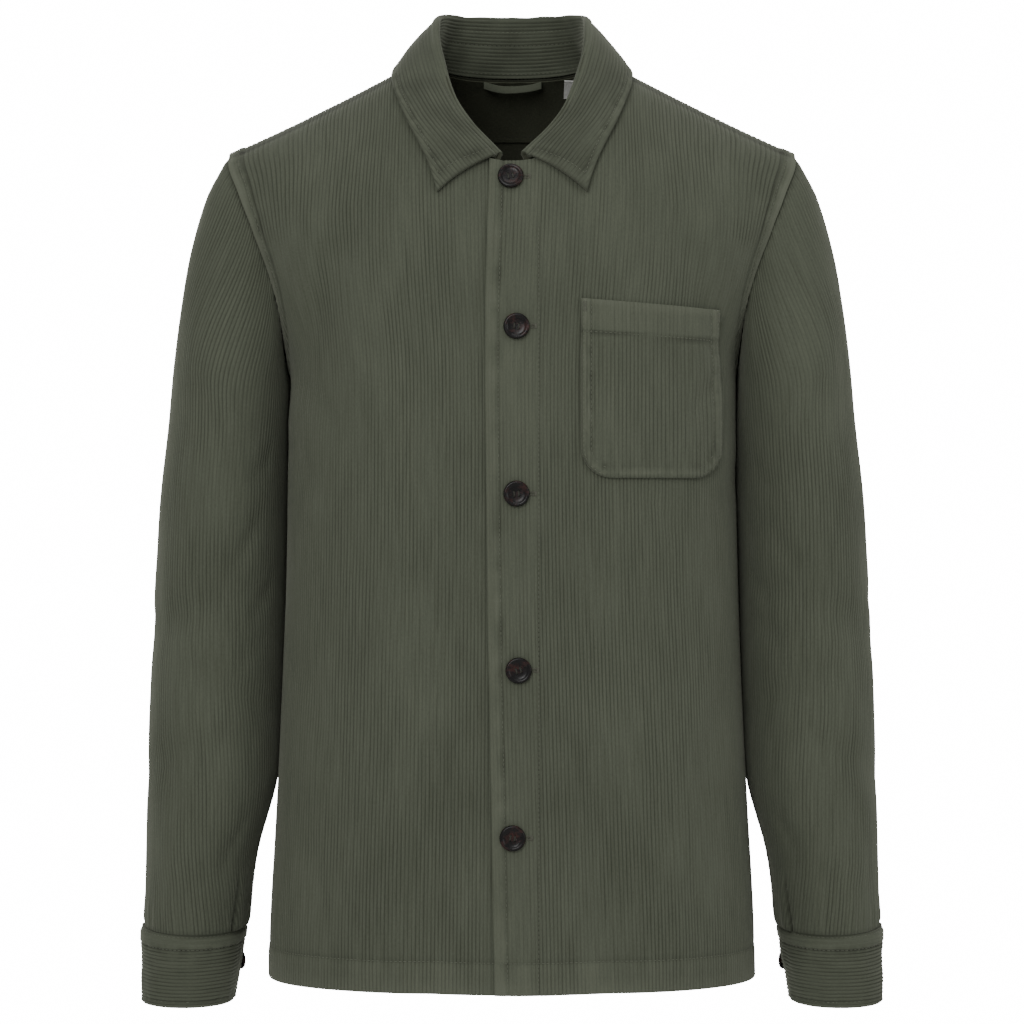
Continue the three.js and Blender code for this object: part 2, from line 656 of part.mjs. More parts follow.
function cuff() {
  return wall({
    columns: range(34, CUFF_START, CUFF_START + CUFF_TURN),
    rows: range(3, CUFF.bottom, CUFF.top),
    bottom: () => CUFF.bottom,
    top: () => CUFF.top,
    outer: (round, level) => cuffPoint(round, level, 0),
    inner: (round, level) => cuffPoint(round, level, -CUFF_CLOTH),
    turned: true,
  });
}

// Collar
function neckPlaces() {
  const end = COLLAR_END_X / sectionLength(FRONT, riseAt(FRONT, -NECK_DEPTH));
  const places = range(30, 0, Math.PI / 2).map((angle) => {
    const fraction = neckFraction * Math.sin(angle) ** (2 / NECK_SHAPE);
    return { side: BACK, fraction, rise: riseAt(BACK, neckLevel(BACK, fraction)) };
  });
  for (const angle of range(40, 0, Math.PI / 2).slice(1)) {
    const fraction = Math.max(neckFraction * Math.cos(angle) ** (2 / NECK_SHAPE), end);
    places.push({ side: FRONT, fraction, rise: riseAt(FRONT, neckLevel(FRONT, fraction)) });
    if (fraction === end) break;
  }
  return measured(null, places);
}

const neckline = neckPlaces();
const neckPoint = (at) => {
  const place = placeAt(neckline, at);
  return torso(place.side, place.fraction, place.rise);
};

// Height of the torso's top surface over a place in plan, and its normal there.
function topSurface(x, y) {
  const side = y < CENTRE_Y ? FRONT : BACK;
  let level = -20;
  for (let i = 0; i < 12; i++) {
    const across = superQuarter(Math.abs(x) / halfWidthAt(level), SQUARENESS);
    const cosine = clamp(Math.abs(y - CENTRE_Y) / (side.depth * across), 0, 0.98);
    level = lerp(level, side.dome * (Math.sqrt(1 - cosine * cosine) - 1), 0.7);
  }
  return heightAt(x, level);
}

function clearOfTorso(point, clearance) {
  const step = 1.5;
  const slopeX = (topSurface(point.x + step, point.y) - topSurface(point.x - step, point.y)) / (2 * step);
  const slopeY = (topSurface(point.x, point.y + step) - topSurface(point.x, point.y - step)) / (2 * step);
  const normal = new THREE.Vector3(-slopeX, -slopeY, 1).normalize();
  const away = (point.z - topSurface(point.x, point.y)) * normal.z;
  return away < clearance ? point.addScaledVector(normal, clearance - away) : point;
}

// Middle of the collar's cloth. Steps: 0 to 3 up the stand, 3 to 5 round the fold, 5 to 10 down the leaf.
const COLLAR_STEPS = 10;
const STAND_STEPS = 3;
const FOLD_STEPS = 2;
function collarMiddle(at, step) {
  const place = Math.abs(at);
  const value = (column) => lookup(COLLAR, 'at', column, place);
  const base = neckPoint(place);
  const seat = placeAt(neckline, place);
  const normal = torsoNormal(seat.side, seat.fraction, seat.rise);
  const along = neckPoint(Math.min(place + 0.01, 1)).sub(neckPoint(Math.max(place - 0.01, 0)));
  const inward = along.cross(normal).normalize();
  if (inward.x * base.x + inward.y * base.y > 0) inward.negate();
  base.addScaledVector(inward, GAP + COLLAR_CLOTH / 2 + 0.6).addScaledVector(normal, -CLOTH * 0.6);
  const fold = new THREE.Vector3(value('foldX'), value('foldY'), value('foldZ'));
  const edge = new THREE.Vector3(value('edgeX'), value('edgeY'), 0);
  edge.z = topSurface(edge.x, edge.y);
  clearOfTorso(edge, LEAF_CLEAR);
  const up = fold.clone().sub(base).normalize();
  const out = edge.clone().sub(fold);
  out.addScaledVector(up, -out.dot(up)).normalize();
  const bend = Math.min(COLLAR_BEND, fold.distanceTo(base) * 0.4);
  const standTop = fold.clone().addScaledVector(up, -bend).addScaledVector(out, -bend);
  const leafTop = fold.clone().addScaledVector(up, -bend).addScaledVector(out, bend);
  let point;
  if (step <= STAND_STEPS) {
    point = base.lerp(standTop, step / STAND_STEPS);
  } else if (step < STAND_STEPS + FOLD_STEPS) {
    point = fold;
  } else {
    const t = (step - STAND_STEPS - FOLD_STEPS) / (COLLAR_STEPS - STAND_STEPS - FOLD_STEPS);
    const crown = LEAF_CROWN * 4 * t * (1 - t);
    point = leafTop.lerp(edge, t).addScaledVector(out, crown * 0.5);
    point.z += crown * 0.6;
    clearOfTorso(point, lerp(LEAF_CLEAR + 2, LEAF_CLEAR, t));
  }
  if (at < 0) point.x = -point.x;
  return point;
}

function collar() {
  const surface = (at, step, lift) => {
    const before = collarMiddle(at, Math.max(step - 1, 0));
    const after = collarMiddle(at, Math.min(step + 1, COLLAR_STEPS));
    const side = collarMiddle(Math.min(at + 0.02, 1), step).sub(collarMiddle(Math.max(at - 0.02, -1), step));
    const normal = after.sub(before).cross(side).normalize();
    return collarMiddle(at, step).addScaledVector(normal, lift);
  };
  return wall({
    columns: range(28, -1, 1),
    rows: range(COLLAR_STEPS, 0, COLLAR_STEPS),
    bottom: () => 0,
    top: () => COLLAR_STEPS,
    outer: (at, step) => surface(at, step, COLLAR_CLOTH / 2),
    inner: (at, step) => surface(at, step, -COLLAR_CLOTH / 2),
    turned: true,
  });
}

// Fraction of the quarter arc at which the front reaches a given x.
function fractionAtX(x, rise) {
  const arc = quarterArc(halfWidthAt(levelAt(FRONT, rise)), depthAt(FRONT, rise));
  let i = 1;
  while (i < arc.length - 1 && arc[i].x < Math.abs(x)) i++;
  const t = (Math.abs(x) - arc[i - 1].x) / (arc[i].x - arc[i - 1].x);
  return (Math.sign(x) * lerp(arc[i - 1].length, arc[i].length, t)) / arc.at(-1).length;
}

// Point over the top front at an x and a level, lifted from its outer face.
function overFront(x, level, lift) {
  const rise = riseAt(FRONT, level);
  return onTorso(FRONT, fractionAtX(x, rise), rise, lift + lapLift(x));
}

function chestPocket() {
  const width = POCKET.right - POCKET.left;
  const topAt = (x) => POCKET.top - POCKET.outerDrop * ((x - POCKET.left) / width);
  const bottomAt = (x) => {
    const side = Math.min(x - POCKET.left, POCKET.right - x);
    const corner = POCKET.corner * (1 - superQuarter(1 - side / POCKET.corner, 2));
    return POCKET.bottom + corner;
  };
  const inset = [0, 3, 8, 15, POCKET.corner];
  return wall({
    columns: [
      ...inset.map((d) => POCKET.left + d),
      ...range(5, POCKET.left + POCKET.corner, POCKET.right - POCKET.corner).slice(1, -1),
      ...inset.map((d) => POCKET.right - d).reverse(),
    ],
    rows: range(7, POCKET.bottom, POCKET.top),
    bottom: bottomAt,
    top: topAt,
    outer: (x, level) => overFront(x, level, CLOTH + POCKET.rise),
    inner: (x, level) => overFront(x, level, POCKET.rise),
    turned: false,
  });
}

// Buttons
const wasm = await Module();
wasm.setup();

function toSolid(geometry) {
  const bare = geometry.index ? geometry.clone() : geometry;
  bare.deleteAttribute('normal');
  bare.deleteAttribute('uv');
  const merged = mergeVertices(bare, 1e-4);
  const vertProperties = new Float32Array(merged.attributes.position.array);
  const triVerts = new Uint32Array(merged.index.array);
  return new wasm.Manifold(new wasm.Mesh({ numProp: 3, vertProperties, triVerts }));
}

function toGeometry(solid) {
  const { vertProperties, triVerts } = solid.getMesh();
  const geometry = new THREE.BufferGeometry();
  geometry.setAttribute('position', new THREE.Float32BufferAttribute(vertProperties, 3));
  geometry.setIndex(Array.from(triVerts));
  return geometry;
}

// A four-hole button with a raised rim and a dished middle, its back at z = 0 and its axis along Z.
function buttonShape() {
  const { radius, height, dish, holeRadius, holeSpread } = BUTTON;
  const profile = [
    [0, 0], [radius * 0.8, 0], [radius, height * 0.45], [radius * 0.97, height * 0.8],
    [radius * 0.84, height], [dish, height * 0.66], [0, height * 0.6],
  ].map(([r, z]) => new THREE.Vector2(r, z));
  const turned = new THREE.LatheGeometry(profile, 20);
  turned.rotateX(Math.PI / 2);
  let solid = toSolid(turned);
  for (const [sideX, sideY] of [[1, 1], [-1, 1], [-1, -1], [1, -1]]) {
    const hole = new THREE.CylinderGeometry(holeRadius, holeRadius, height * 3, 6);
    hole.rotateX(Math.PI / 2);
    hole.translate(sideX * holeSpread, sideY * holeSpread, 0);
    solid = solid.subtract(toSolid(hole));
  }
  return toGeometry(solid);
}

function seated(mesh, point, normal) {
  mesh.position.copy(point);
  mesh.quaternion.setFromUnitVectors(new THREE.Vector3(0, 0, 1), normal);
  return mesh;
}

function frontButton({ name, x, level }, geometry, material) {
  const rise = riseAt(FRONT, level);
  const normal = torsoNormal(FRONT, fractionAtX(x, rise), rise);
  return seated(named(name, geometry, material), overFront(x, level, BUTTON.standOff), normal);
}

function cuffButton(name, mirror, geometry, material) {
  const round = CUFF_START + CUFF_TURN - CUFF_LAP / 2 + 4;
  const level = lerp(CUFF.bottom, CUFF.top, 0.48);
  const point = cuffPoint(round, level, 1.2);
  const normal = cuffPoint(round, level, 4).sub(point).normalize();
  point.x *= mirror;
  normal.x *= mirror;
  return seated(named(name, geometry, material), point, normal);
}

// Hanger loop, a strip across the back of the neck that bows a little into it.
function hangerLoop() {
  const neckRise = riseAt(BACK, -NECK_BACK_DROP);
  const backOfStand = (x) => {
    const { y } = torso(BACK, Math.abs(x) / BODY.at(-1).halfWidth, neckRise);
    return y - COLLAR_CLOTH - GAP * 3;
  };
  const part = (x) => Math.sin(Math.PI * ((x - LOOP.start) / (LOOP.end - LOOP.start)));
  const at = (x, z, depth) => {
    const y = backOfStand(x) - LOOP.bow * part(x) - depth;
    return new THREE.Vector3(x, y, z - LOOP.sag * part(x));
  };
  return wall({
    columns: range(10, LOOP.start, LOOP.end),
    rows: [LOOP.top - LOOP.width, LOOP.top],
    bottom: () => LOOP.top - LOOP.width,
    top: () => LOOP.top,
    outer: (x, z) => at(x, z, LOOP.cloth),
    inner: (x, z) => at(x, z, 0),
    turned: false,
  });
}

function neckLabel() {
  const lift = -CLOTH - FACING.clear - FACING.cloth - GAP - 0.9;
  const scale = 1 / BODY.at(-1).halfWidth;
  return wall({
    columns: [LABEL.left * scale, ((LABEL.left + LABEL.right) / 2) * scale, LABEL.right * scale],
    rows: range(3, riseAt(BACK, LABEL.bottom), riseAt(BACK, LABEL.top)),
    bottom: () => riseAt(BACK, LABEL.bottom),
    top: () => riseAt(BACK, LABEL.top),
    outer: (c, rise) => onTorso(BACK, c, rise, lift),
    inner: (c, rise) => onTorso(BACK, c, rise, lift - LABEL.cloth),
    turned: true,
  });
}

function named(name, geometry, material) {
  const mesh = new THREE.Mesh(geometry, material);
  mesh.name = name;
  return mesh;
}

const olive = clothMaterial(OLIVE);
const horn = new THREE.MeshStandardMaterial({ color: HORN, roughness: 0.25, metalness: 0 });
const sleeveShape = sleeve();
const cuffShape = cuff();
const button = buttonShape();
const smallButton = button.clone().scale(CUFF_BUTTON_SCALE, CUFF_BUTTON_SCALE, CUFF_BUTTON_SCALE);

const jacket = new THREE.Group();
jacket.add(
  named('front_left', frontPanel('over', true), olive),
  named('front_right', frontPanel('under', false), olive),
  named('back', backPanel(), olive),
  named('neck_facing', neckFacing(), clothMaterial(OLIVE_DARK)),
  named('sleeve_left', sleeveShape, olive),
  named('sleeve_right', mirrored(sleeveShape), olive),
  named('cuff_left', cuffShape, olive),
  named('cuff_right', mirrored(cuffShape), olive),
  named('collar', collar(), olive),
  named('chest_pocket', chestPocket(), olive),
  named('hanger_loop', hangerLoop(), olive),
  named('neck_label', neckLabel(), clothMaterial(LABEL_WHITE)),
  ...BUTTONS.map((row) => frontButton(row, button, horn)),
  cuffButton('cuff_button_left', 1, smallButton, horn),
  cuffButton('cuff_button_right', -1, smallButton, horn),
);

export default jacket;
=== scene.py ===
import math

import bpy
import numpy as np
from mathutils import Matrix, Vector


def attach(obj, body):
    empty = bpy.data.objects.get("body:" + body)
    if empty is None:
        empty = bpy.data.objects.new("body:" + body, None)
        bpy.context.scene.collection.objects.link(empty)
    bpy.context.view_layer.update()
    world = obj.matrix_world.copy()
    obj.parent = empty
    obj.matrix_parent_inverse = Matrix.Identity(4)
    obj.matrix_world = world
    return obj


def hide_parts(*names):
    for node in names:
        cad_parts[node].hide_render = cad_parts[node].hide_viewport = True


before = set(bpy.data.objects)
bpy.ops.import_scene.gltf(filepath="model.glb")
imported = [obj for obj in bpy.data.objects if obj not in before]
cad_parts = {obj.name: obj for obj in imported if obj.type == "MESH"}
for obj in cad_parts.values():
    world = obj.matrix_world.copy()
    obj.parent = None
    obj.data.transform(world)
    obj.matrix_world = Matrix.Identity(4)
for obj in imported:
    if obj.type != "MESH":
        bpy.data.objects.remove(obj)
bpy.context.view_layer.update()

# Camera, straight ahead at the garment's middle height
VIEW_DISTANCE = 2.8
VIEW_WIDTH = 0.8192
SENSOR = 36.0
camera_data = bpy.data.cameras.new("camera")
camera_data.sensor_width = SENSOR
camera_data.lens = SENSOR * VIEW_DISTANCE / VIEW_WIDTH
camera = bpy.data.objects.new("camera", camera_data)
camera.location = (0, -VIEW_DISTANCE, -0.368)
camera.rotation_euler = (math.radians(90), 0, 0)
bpy.context.scene.collection.objects.link(camera)
bpy.context.scene.camera = camera

# Sizes of the garment in millimetres. They are the part's own, but for the sleeves' inner x,
# the collar's fold and leaf at the back and the cuff buttons' stand, which are fitted to the view.
CLOTH = 1.8
GAP = 0.3
ARMHOLE_GAP = 0.45
CENTRE_Y = 4
SQUARENESS = 2.7
UNDERARM = -250
HEM = -736
HEM_RISE = -2
SHOULDER_START = 60
SHOULDER_SLOPE = 0.56
SHOULDER_SAG = 0.00037
SHOULDER_ROUND = 8
SHOULDER_REACH = 230
SEAM_FORWARD = 14
NECK_HALF = 64
NECK_DEPTH = 98
NECK_BACK_DROP = 15
NECK_SHAPE = 2.4
ARMHOLE_FRACTION = 0.79
ARMHOLE_TURN = -178
FRONT, BACK = 0, 1
SIGN = np.array([-1.0, 1.0])
DEPTH = np.array([129.0, 127.0])
DOME = np.array([230.0, 180.0])
RIDGE = math.pi / 2 * np.sqrt((DEPTH ** 2 + DOME ** 2) / 2)

# Level and half width of the body's sections
BODY = [
    (-742, 193.5), (-690, 192.5), (-600, 187.5), (-520, 183.5), (-430, 180), (-330, 178.5),
    (-250, 180), (-178, 197), (-120, 213), (-80, 226), (-40, 247), (0, 283),
]
# Level and how far the top front and the one beneath it reach past the centre line
EDGE_OVER = [
    (-742, 13.4), (-600, 15.7), (-440, 18.7), (-220, 20.5), (-98, 17.5),
]
EDGE_UNDER = [
    (-742, 20), (-600, 20), (-440, 20), (-220, 20), (-98, 19),
]
# Level, outer x, inner x, half depth and middle y of the sleeve's sections
SLEEVE = [
    (-695, 292.4, 210, 46.5, -15), (-638, 290.9, 202.8, 55, -13), (-578, 290, 187, 59.5, -9),
    (-518, 288.6, 183.2, 64.5, -5), (-438, 285.6, 181.3, 68.6, -1), (-358, 281, 179.2, 72.2, 2),
    (-300, 274.6, 178, 74.9, 3), (-250, 270, 179.2, 80, 4), (-198, 263.2, 181, 75, 4),
    (-158, 256, 181, 69, 4), (-118, 244.5, 181, 58, 4), (-98, 234.5, 181, 42, 4),
    (-78, 223, 181, 12, 4),
]
SLEEVE_FADE = 120
# Collar: place along it, the fold's x, y, z and the leaf edge's x, y
COLLAR = [
    (0, 0, 50, 33.8, 0, 76.5), (0.2, 34, 45, 33.4, 49, 69.5), (0.4, 57, 20, 30.4, 84, 38),
    (0.55, 61, -12, 20, 92, -5), (0.7, 57.5, -48, -8, 92.5, -41), (0.85, 41, -82, -54, 81, -77.5),
    (1, 10, -101, -91, 57.4, -108.6),
]
COLLAR_CLOTH = 2.4
COLLAR_BEND = 2.6
COLLAR_END_X = 10
LEAF_CLEAR = 3
LEAF_CROWN = 5
CUFF_LEVELS = (-756, -695.3)
CUFF_MIDDLE_X = (258, 253.2)
CUFF_HALF = (36.4, 41.6)
CUFF_DEPTH = (40, 44.5)
CUFF_MIDDLE_Y = -15
CUFF_CLOTH = 2.4
CUFF_START = 198
CUFF_TURN = 384
CUFF_LAP = 34
CUFF_DROP = 4.4
POCKET = {"left": 52.8, "right": 162.5, "top": -204.5, "outer_drop": 6, "bottom": -342, "corner": 24,
          "rise": 0.85}
BUTTONS = [(-1.1, -111), (3.4, -226), (3.4, -354), (5, -489), (0.4, -617)]
BUTTON_STAND = 0.55
BUTTON_HOLE_RADIUS = 0.95
BUTTON_HOLE_SPREAD = 1.75
CUFF_BUTTON_STAND = 0.7
CUFF_BUTTON_SCALE = 0.75
LAP_LIFT = CLOTH + GAP + 0.35
LAP_FADE = (24, 50)
FACING_REACH = 0.33
FACING_DEPTH = 60
FACING_CLOTH = 1
FACING_CLEAR = 1.1
FACING_ROW = 5

# Wales: their pitch, how high and deep they stand, and where a mesh has its columns along one
PITCH = 3.0
WALE_HEIGHT = 0.62
WALE_SINK = 0.3
WALE_PHASES = (0, 0.24, 0.5, 0.76)
WALE_FLANKS = (0, 0.3, 0.7)
# Step in the noise from one wale to the next
WALE_SPREAD = 1.7

# Largest folds of the body, as in the part's source:
# side, x, top level, bottom level, lean, half width, height
FOLDS = [
    (FRONT, 66, -560, -730, 0.04, 16, -5), (FRONT, 40, -450, -640, -0.04, 17, 3),
    (FRONT, -58, -540, -730, -0.02, 17, -5), (FRONT, -92, -430, -700, -0.03, 24, 3),
    (FRONT, 118, -440, -720, 0.05, 26, 3), (FRONT, -120, -120, -270, -0.35, 18, -4),
    (FRONT, 120, -120, -250, 0.35, 18, -4), (BACK, -70, -430, -730, -0.05, 24, -5),
    (BACK, 64, -470, -735, 0.06, 22, -5), (BACK, -8, -380, -735, 0.01, 30, 4),
    (BACK, -128, -170, -330, -0.3, 20, -4), (BACK, 128, -170, -320, 0.3, 20, -4),
]
# Largest folds of a sleeve:
# angle from its outer line, level, lean, half width, half length round, height
SLEEVE_FOLDS = [
    (70, -448, 0.35, 15, 55, -3.5), (105, -505, -0.4, 13, 50, -3.5), (60, -560, 0.3, 14, 45, -2.5),
    (-80, -430, 0.35, 16, 55, -3.5), (-110, -490, -0.35, 14, 50, -3),
    (-60, -600, 0.3, 15, 45, -2.5), (85, -655, 0.2, 10, 60, -2),
]


def smooth(t):
    t = np.clip(t, 0, 1)
    return t * t * (3 - 2 * t)


def bell(t):
    return np.exp(-t * t)


def lerp(a, b, t):
    return a + (b - a) * t


def lengths_along(points):
    """Length of a line from its first point to each of its points."""
    return np.concatenate([[0], np.cumsum(np.linalg.norm(np.diff(points, axis=0), axis=1))])


def running(steps):
    """Sums along each row of steps, from 0."""
    return np.concatenate([np.zeros((len(steps), 1)), np.cumsum(steps, axis=1)], axis=1)


def distinct(values, digits=4):
    """The distinct values once rounded, and which of them each value is."""
    found, which = np.unique(np.round(values, digits), return_inverse=True)
    return found, which.ravel()


def lookup(table, at, column=1):
    """Smooth value of one column of a table whose rows rise in the first one."""
    keys = np.array([row[0] for row in table], float)
    values = np.array([row[column] for row in table], float)
    before = np.maximum(np.arange(len(keys)) - 1, 0)
    after = np.minimum(np.arange(len(keys)) + 1, len(keys) - 1)
    tangents = (values[after] - values[before]) / (keys[after] - keys[before])
    at = np.clip(np.asarray(at, float), keys[0], keys[-1])
    i = np.clip(np.searchsorted(keys, at) - 1, 0, len(keys) - 2)
    span = keys[i + 1] - keys[i]
    t = (at - keys[i]) / span
    bend = t * (1 - t) ** 2 * tangents[i] + t * t * (t - 1) * tangents[i + 1]
    return lerp(values[i], values[i + 1], t * t * (3 - 2 * t)) + span * bend


def lattice(i, j, seed):
    """A fixed scatter of values from 0 to 1 over whole numbers."""
    mixed = np.sin(i * 127.1 + j * 311.7 + seed * 74.7) * 43758.5453
    return mixed - np.floor(mixed)


def noise(u, v, seed):
    """Smooth value noise from 0 to 1, the same on every run."""
    u, v = np.broadcast_arrays(np.asarray(u, float), np.asarray(v, float))
    i, j = np.floor(u), np.floor(v)
    s, t = smooth(u - i), smooth(v - j)
    low = lerp(lattice(i, j, seed), lattice(i + 1, j, seed), s)
    high = lerp(lattice(i, j + 1, seed), lattice(i + 1, j + 1, seed), s)
    return lerp(low, high, t)


# The torso's form
ARC_STEPS = 361
ARC_ANGLES = np.linspace(0, math.pi / 2, ARC_STEPS)
ARC_X = np.sin(ARC_ANGLES) ** (2 / SQUARENESS)
ARC_OUT = np.clip(np.cos(ARC_ANGLES), 0, 1) ** (2 / SQUARENESS)


def arcs(half, depth):
    """Quarter arcs of the sections: points, lengths along them, and which arc each value has."""
    pairs = np.round(np.stack([half.ravel(), depth.ravel()], 1), 6)
    unique, which = np.unique(pairs, axis=0, return_inverse=True)
    xs = unique[:, :1] * ARC_X
    outs = unique[:, 1:] * ARC_OUT
    return xs, outs, running(np.hypot(np.diff(xs, axis=1), np.diff(outs, axis=1))), which.ravel()


def find(grid, which, value):
    """Cell and part of a cell where each value lies in its own rising row of grid, all from 0 to 1."""
    count = grid.shape[1]
    shifted = (grid + 2 * np.arange(len(grid))[:, None]).ravel()
    cell = np.clip(np.searchsorted(shifted, value + 2 * which) - count * which, 1, count - 1)
    low, high = grid[which, cell - 1], grid[which, cell]
    return cell, np.clip((value - low) / np.maximum(high - low, 1e-9), 0, 1)


def quarter(half, depth, part):
    """x and distance from the middle at a part, from 0 to 1, of the quarter arc's length."""
    xs, outs, lengths, which = arcs(half, depth)
    cell, t = find(lengths / lengths[:, -1:], which, np.clip(part, 0, 1).ravel())
    x = lerp(xs[which, cell - 1], xs[which, cell], t)
    out = lerp(outs[which, cell - 1], outs[which, cell], t)
    return x.reshape(part.shape), out.reshape(part.shape)


def part_at_x(x, rise):
    """Signed part of the front's quarter arc that lies at an x."""
    _, half, depth = section(FRONT, rise)
    half, depth, x = np.broadcast_arrays(half, depth, np.asarray(x, float))
    xs, _, lengths, which = arcs(half, depth)
    cell, t = find(xs / xs[:, -1:], which, (np.abs(x) / half).ravel())
    length = lerp(lengths[which, cell - 1], lengths[which, cell], t) / lengths[which, -1]
    return np.sign(x) * length.reshape(x.shape)


def level_at(side, rise):
    """Level of a rise, the length up the cloth that starts where the torso's dome does."""
    angle = math.pi / 2 * np.clip(rise / RIDGE[side], 0, 1)
    return np.where(rise < 0, rise - DOME[side], DOME[side] * (np.sin(angle) - 1))


def rise_at(side, level):
    level = np.asarray(level, float)
    top = np.arcsin(np.clip(1 + level / DOME[side], 0, 1)) / (math.pi / 2) * RIDGE[side]
    return np.where(level < -DOME[side], level + DOME[side], top)


def section(side, rise):
    rise = np.asarray(rise, float)
    level = level_at(side, rise)
    depth = DEPTH[side] * np.cos(math.pi / 2 * np.clip(rise / RIDGE[side], 0, 1))
    return level, lookup(BODY, level), depth


def section_length(side, rise):
    _, half, depth = section(side, np.atleast_1d(rise))
    _, _, lengths, which = arcs(half, depth)
    return lengths[which, -1]


def shoulder_drop(x):
    past = np.abs(x) - SHOULDER_START
    t = (past + np.hypot(past, SHOULDER_ROUND)) / 2
    return -SHOULDER_SLOPE * t + SHOULDER_SAG * t * t


def height_at(x, level):
    return level + smooth(1 + level / SHOULDER_REACH) * shoulder_drop(x)


def torso(side, part, rise):
    """Points at signed parts of the quarter arc and rises; past the ridge they go on behind it."""
    side, part, rise = np.broadcast_arrays(side, np.asarray(part, float), np.asarray(rise, float))
    over = rise - RIDGE[side]
    other = np.where(over > 0, 1 - side, side)
    rise = np.where(over > 0, RIDGE[other] - over, rise)
    level, half, depth = section(other, rise)
    x, out = quarter(half, depth, np.abs(part))
    x = np.sign(part) * x
    return np.stack([x, CENTRE_Y + SIGN[other] * out, height_at(x, level)], -1)


def unit(v):
    return v / np.maximum(np.linalg.norm(v, axis=-1, keepdims=True), 1e-12)


def torso_normal(side, part, rise):
    part = np.clip(part, -0.985, 0.985)
    rise = np.minimum(rise, RIDGE[side] - 3) if np.ndim(side) == 0 else rise
    across = torso(side, part + 0.008, rise) - torso(side, part - 0.008, rise)
    along = torso(side, part, rise + 2.5) - torso(side, part, rise - 2.5)
    outward = -SIGN[side] * np.ones(across.shape[:-1])
    return unit(np.cross(across, along)) * outward[..., None]


def body_folds(side, x, level):
    height = np.zeros_like(x)
    for which, middle, top, bottom, lean, width, tall in FOLDS:
        if which != side:
            continue
        along = (level - bottom) / (top - bottom)
        ends = smooth(along * 3 + 0.6) * smooth((1 - along) * 3 + 0.3)
        height += tall * bell((x - middle - lean * (top - level)) / width) * ends
    return height


def creases(table, a, b):
    """Height of short soft creases, each a bowed line from one place to another in two coordinates."""
    height = np.zeros_like(a)
    for a0, b0, a1, b1, bow, width, tall in table:
        run, rise = a1 - a0, b1 - b0
        long = math.hypot(run, rise)
        t = ((a - a0) * run + (b - b0) * rise) / long ** 2
        off = ((a - a0) * -rise + (b - b0) * run) / long - bow * 4 * t * (1 - t)
        ends = smooth(t * 2.2 + 0.25) * smooth((1 - t) * 2.2 + 0.25)
        height += tall * bell(off / (width * (0.75 + 0.5 * np.clip(t, 0, 1)))) * ends
    return height


def super_quarter(t, power):
    return (1 - np.clip(t, 0, 1) ** power) ** (1 / power)


# Outlines of the cut pieces
neck_part = NECK_HALF / BODY[-1][1]
ARMHOLE_ARC, SIDE_ARC = 280, 262
arm_edge = ARMHOLE_FRACTION - ARMHOLE_GAP / ARMHOLE_ARC
side_edge = 1 - GAP / 2 / SIDE_ARC


def neck_level(side, part):
    drop = NECK_DEPTH if side == FRONT else NECK_BACK_DROP
    return -drop * super_quarter(np.abs(part) / neck_part, NECK_SHAPE)


def armhole_level(part):
    across = (np.abs(part) - ARMHOLE_FRACTION) / (1 - ARMHOLE_FRACTION)
    return ARMHOLE_TURN + (UNDERARM - ARMHOLE_TURN) * super_quarter(1 - across, 2)


def top_edge(side, part, toward):
    """Rise of a panel's top at each part; at its corners, the top on the side that toward tells."""
    size = np.abs(part)
    outward = (np.sign(part) * toward > 0) | (part == 0)
    seam = SEAM_FORWARD + (GAP if side == FRONT else -GAP)
    shoulder = RIDGE[FRONT] - seam if side == FRONT else RIDGE[BACK] + seam
    neck = np.minimum(rise_at(side, neck_level(side, part)), shoulder)
    low = armhole_level(np.maximum(size, ARMHOLE_FRACTION))
    low = low - ARMHOLE_GAP * smooth((size - arm_edge) * 20)
    in_neck = (size < neck_part - 1e-6) | ((size < neck_part + 1e-6) & ~outward)
    in_shoulder = (size < arm_edge - 1e-6) | ((size < arm_edge + 1e-6) & ~outward)
    return np.where(in_neck, neck, np.where(in_shoulder, shoulder, rise_at(side, low)))


def armhole_places(side):
    """The armhole's parts, rises, lengths and points from the shoulder to the underarm."""
    turn = float(rise_at(side, ARMHOLE_TURN))
    rises = list(np.linspace(RIDGE[side], turn, 60))
    parts = [ARMHOLE_FRACTION] * 60
    for angle in np.linspace(0, math.pi / 2, 60)[1:]:
        parts.append(ARMHOLE_FRACTION + (1 - ARMHOLE_FRACTION) * (1 - math.cos(angle)))
        rises.append(float(rise_at(side, ARMHOLE_TURN + (UNDERARM - ARMHOLE_TURN) * math.sin(angle))))
    parts, rises = np.array(parts), np.array(rises)
    points = torso(side, parts, rises)
    return parts, rises, lengths_along(points), points


armholes = [armhole_places(FRONT), armhole_places(BACK)]


def wale(count):
    """Height of the pile over its groove, 0 to 1, at a count of wales."""
    phase = count - np.floor(count)
    return 1 - np.abs(2 * phase - 1) ** 2.6


def wale_columns(start, end, per_unit, keep, phases=WALE_PHASES):
    """Places of the wales' flanks and tops from start to end, with the places in keep added."""
    first, last = math.floor(start * per_unit), math.ceil(end * per_unit)
    places = [(k + phase) / per_unit for k in range(first, last) for phase in phases]
    clear = 0.12 / per_unit
    places = [p for p in places if start < p < end and min(abs(p - k) for k in keep) > clear]
    return np.array(sorted(places + list(keep)))


def mesh_normals(points, faces):
    corners = points[faces]
    cross = np.cross(corners[:, 1] - corners[:, 0], corners[:, 2] - corners[:, 0])
    normals = np.zeros_like(points)
    for i in range(3):
        for axis in range(3):
            normals[:, axis] += np.bincount(faces[:, i], cross[:, axis], len(points))
    return unit(normals)


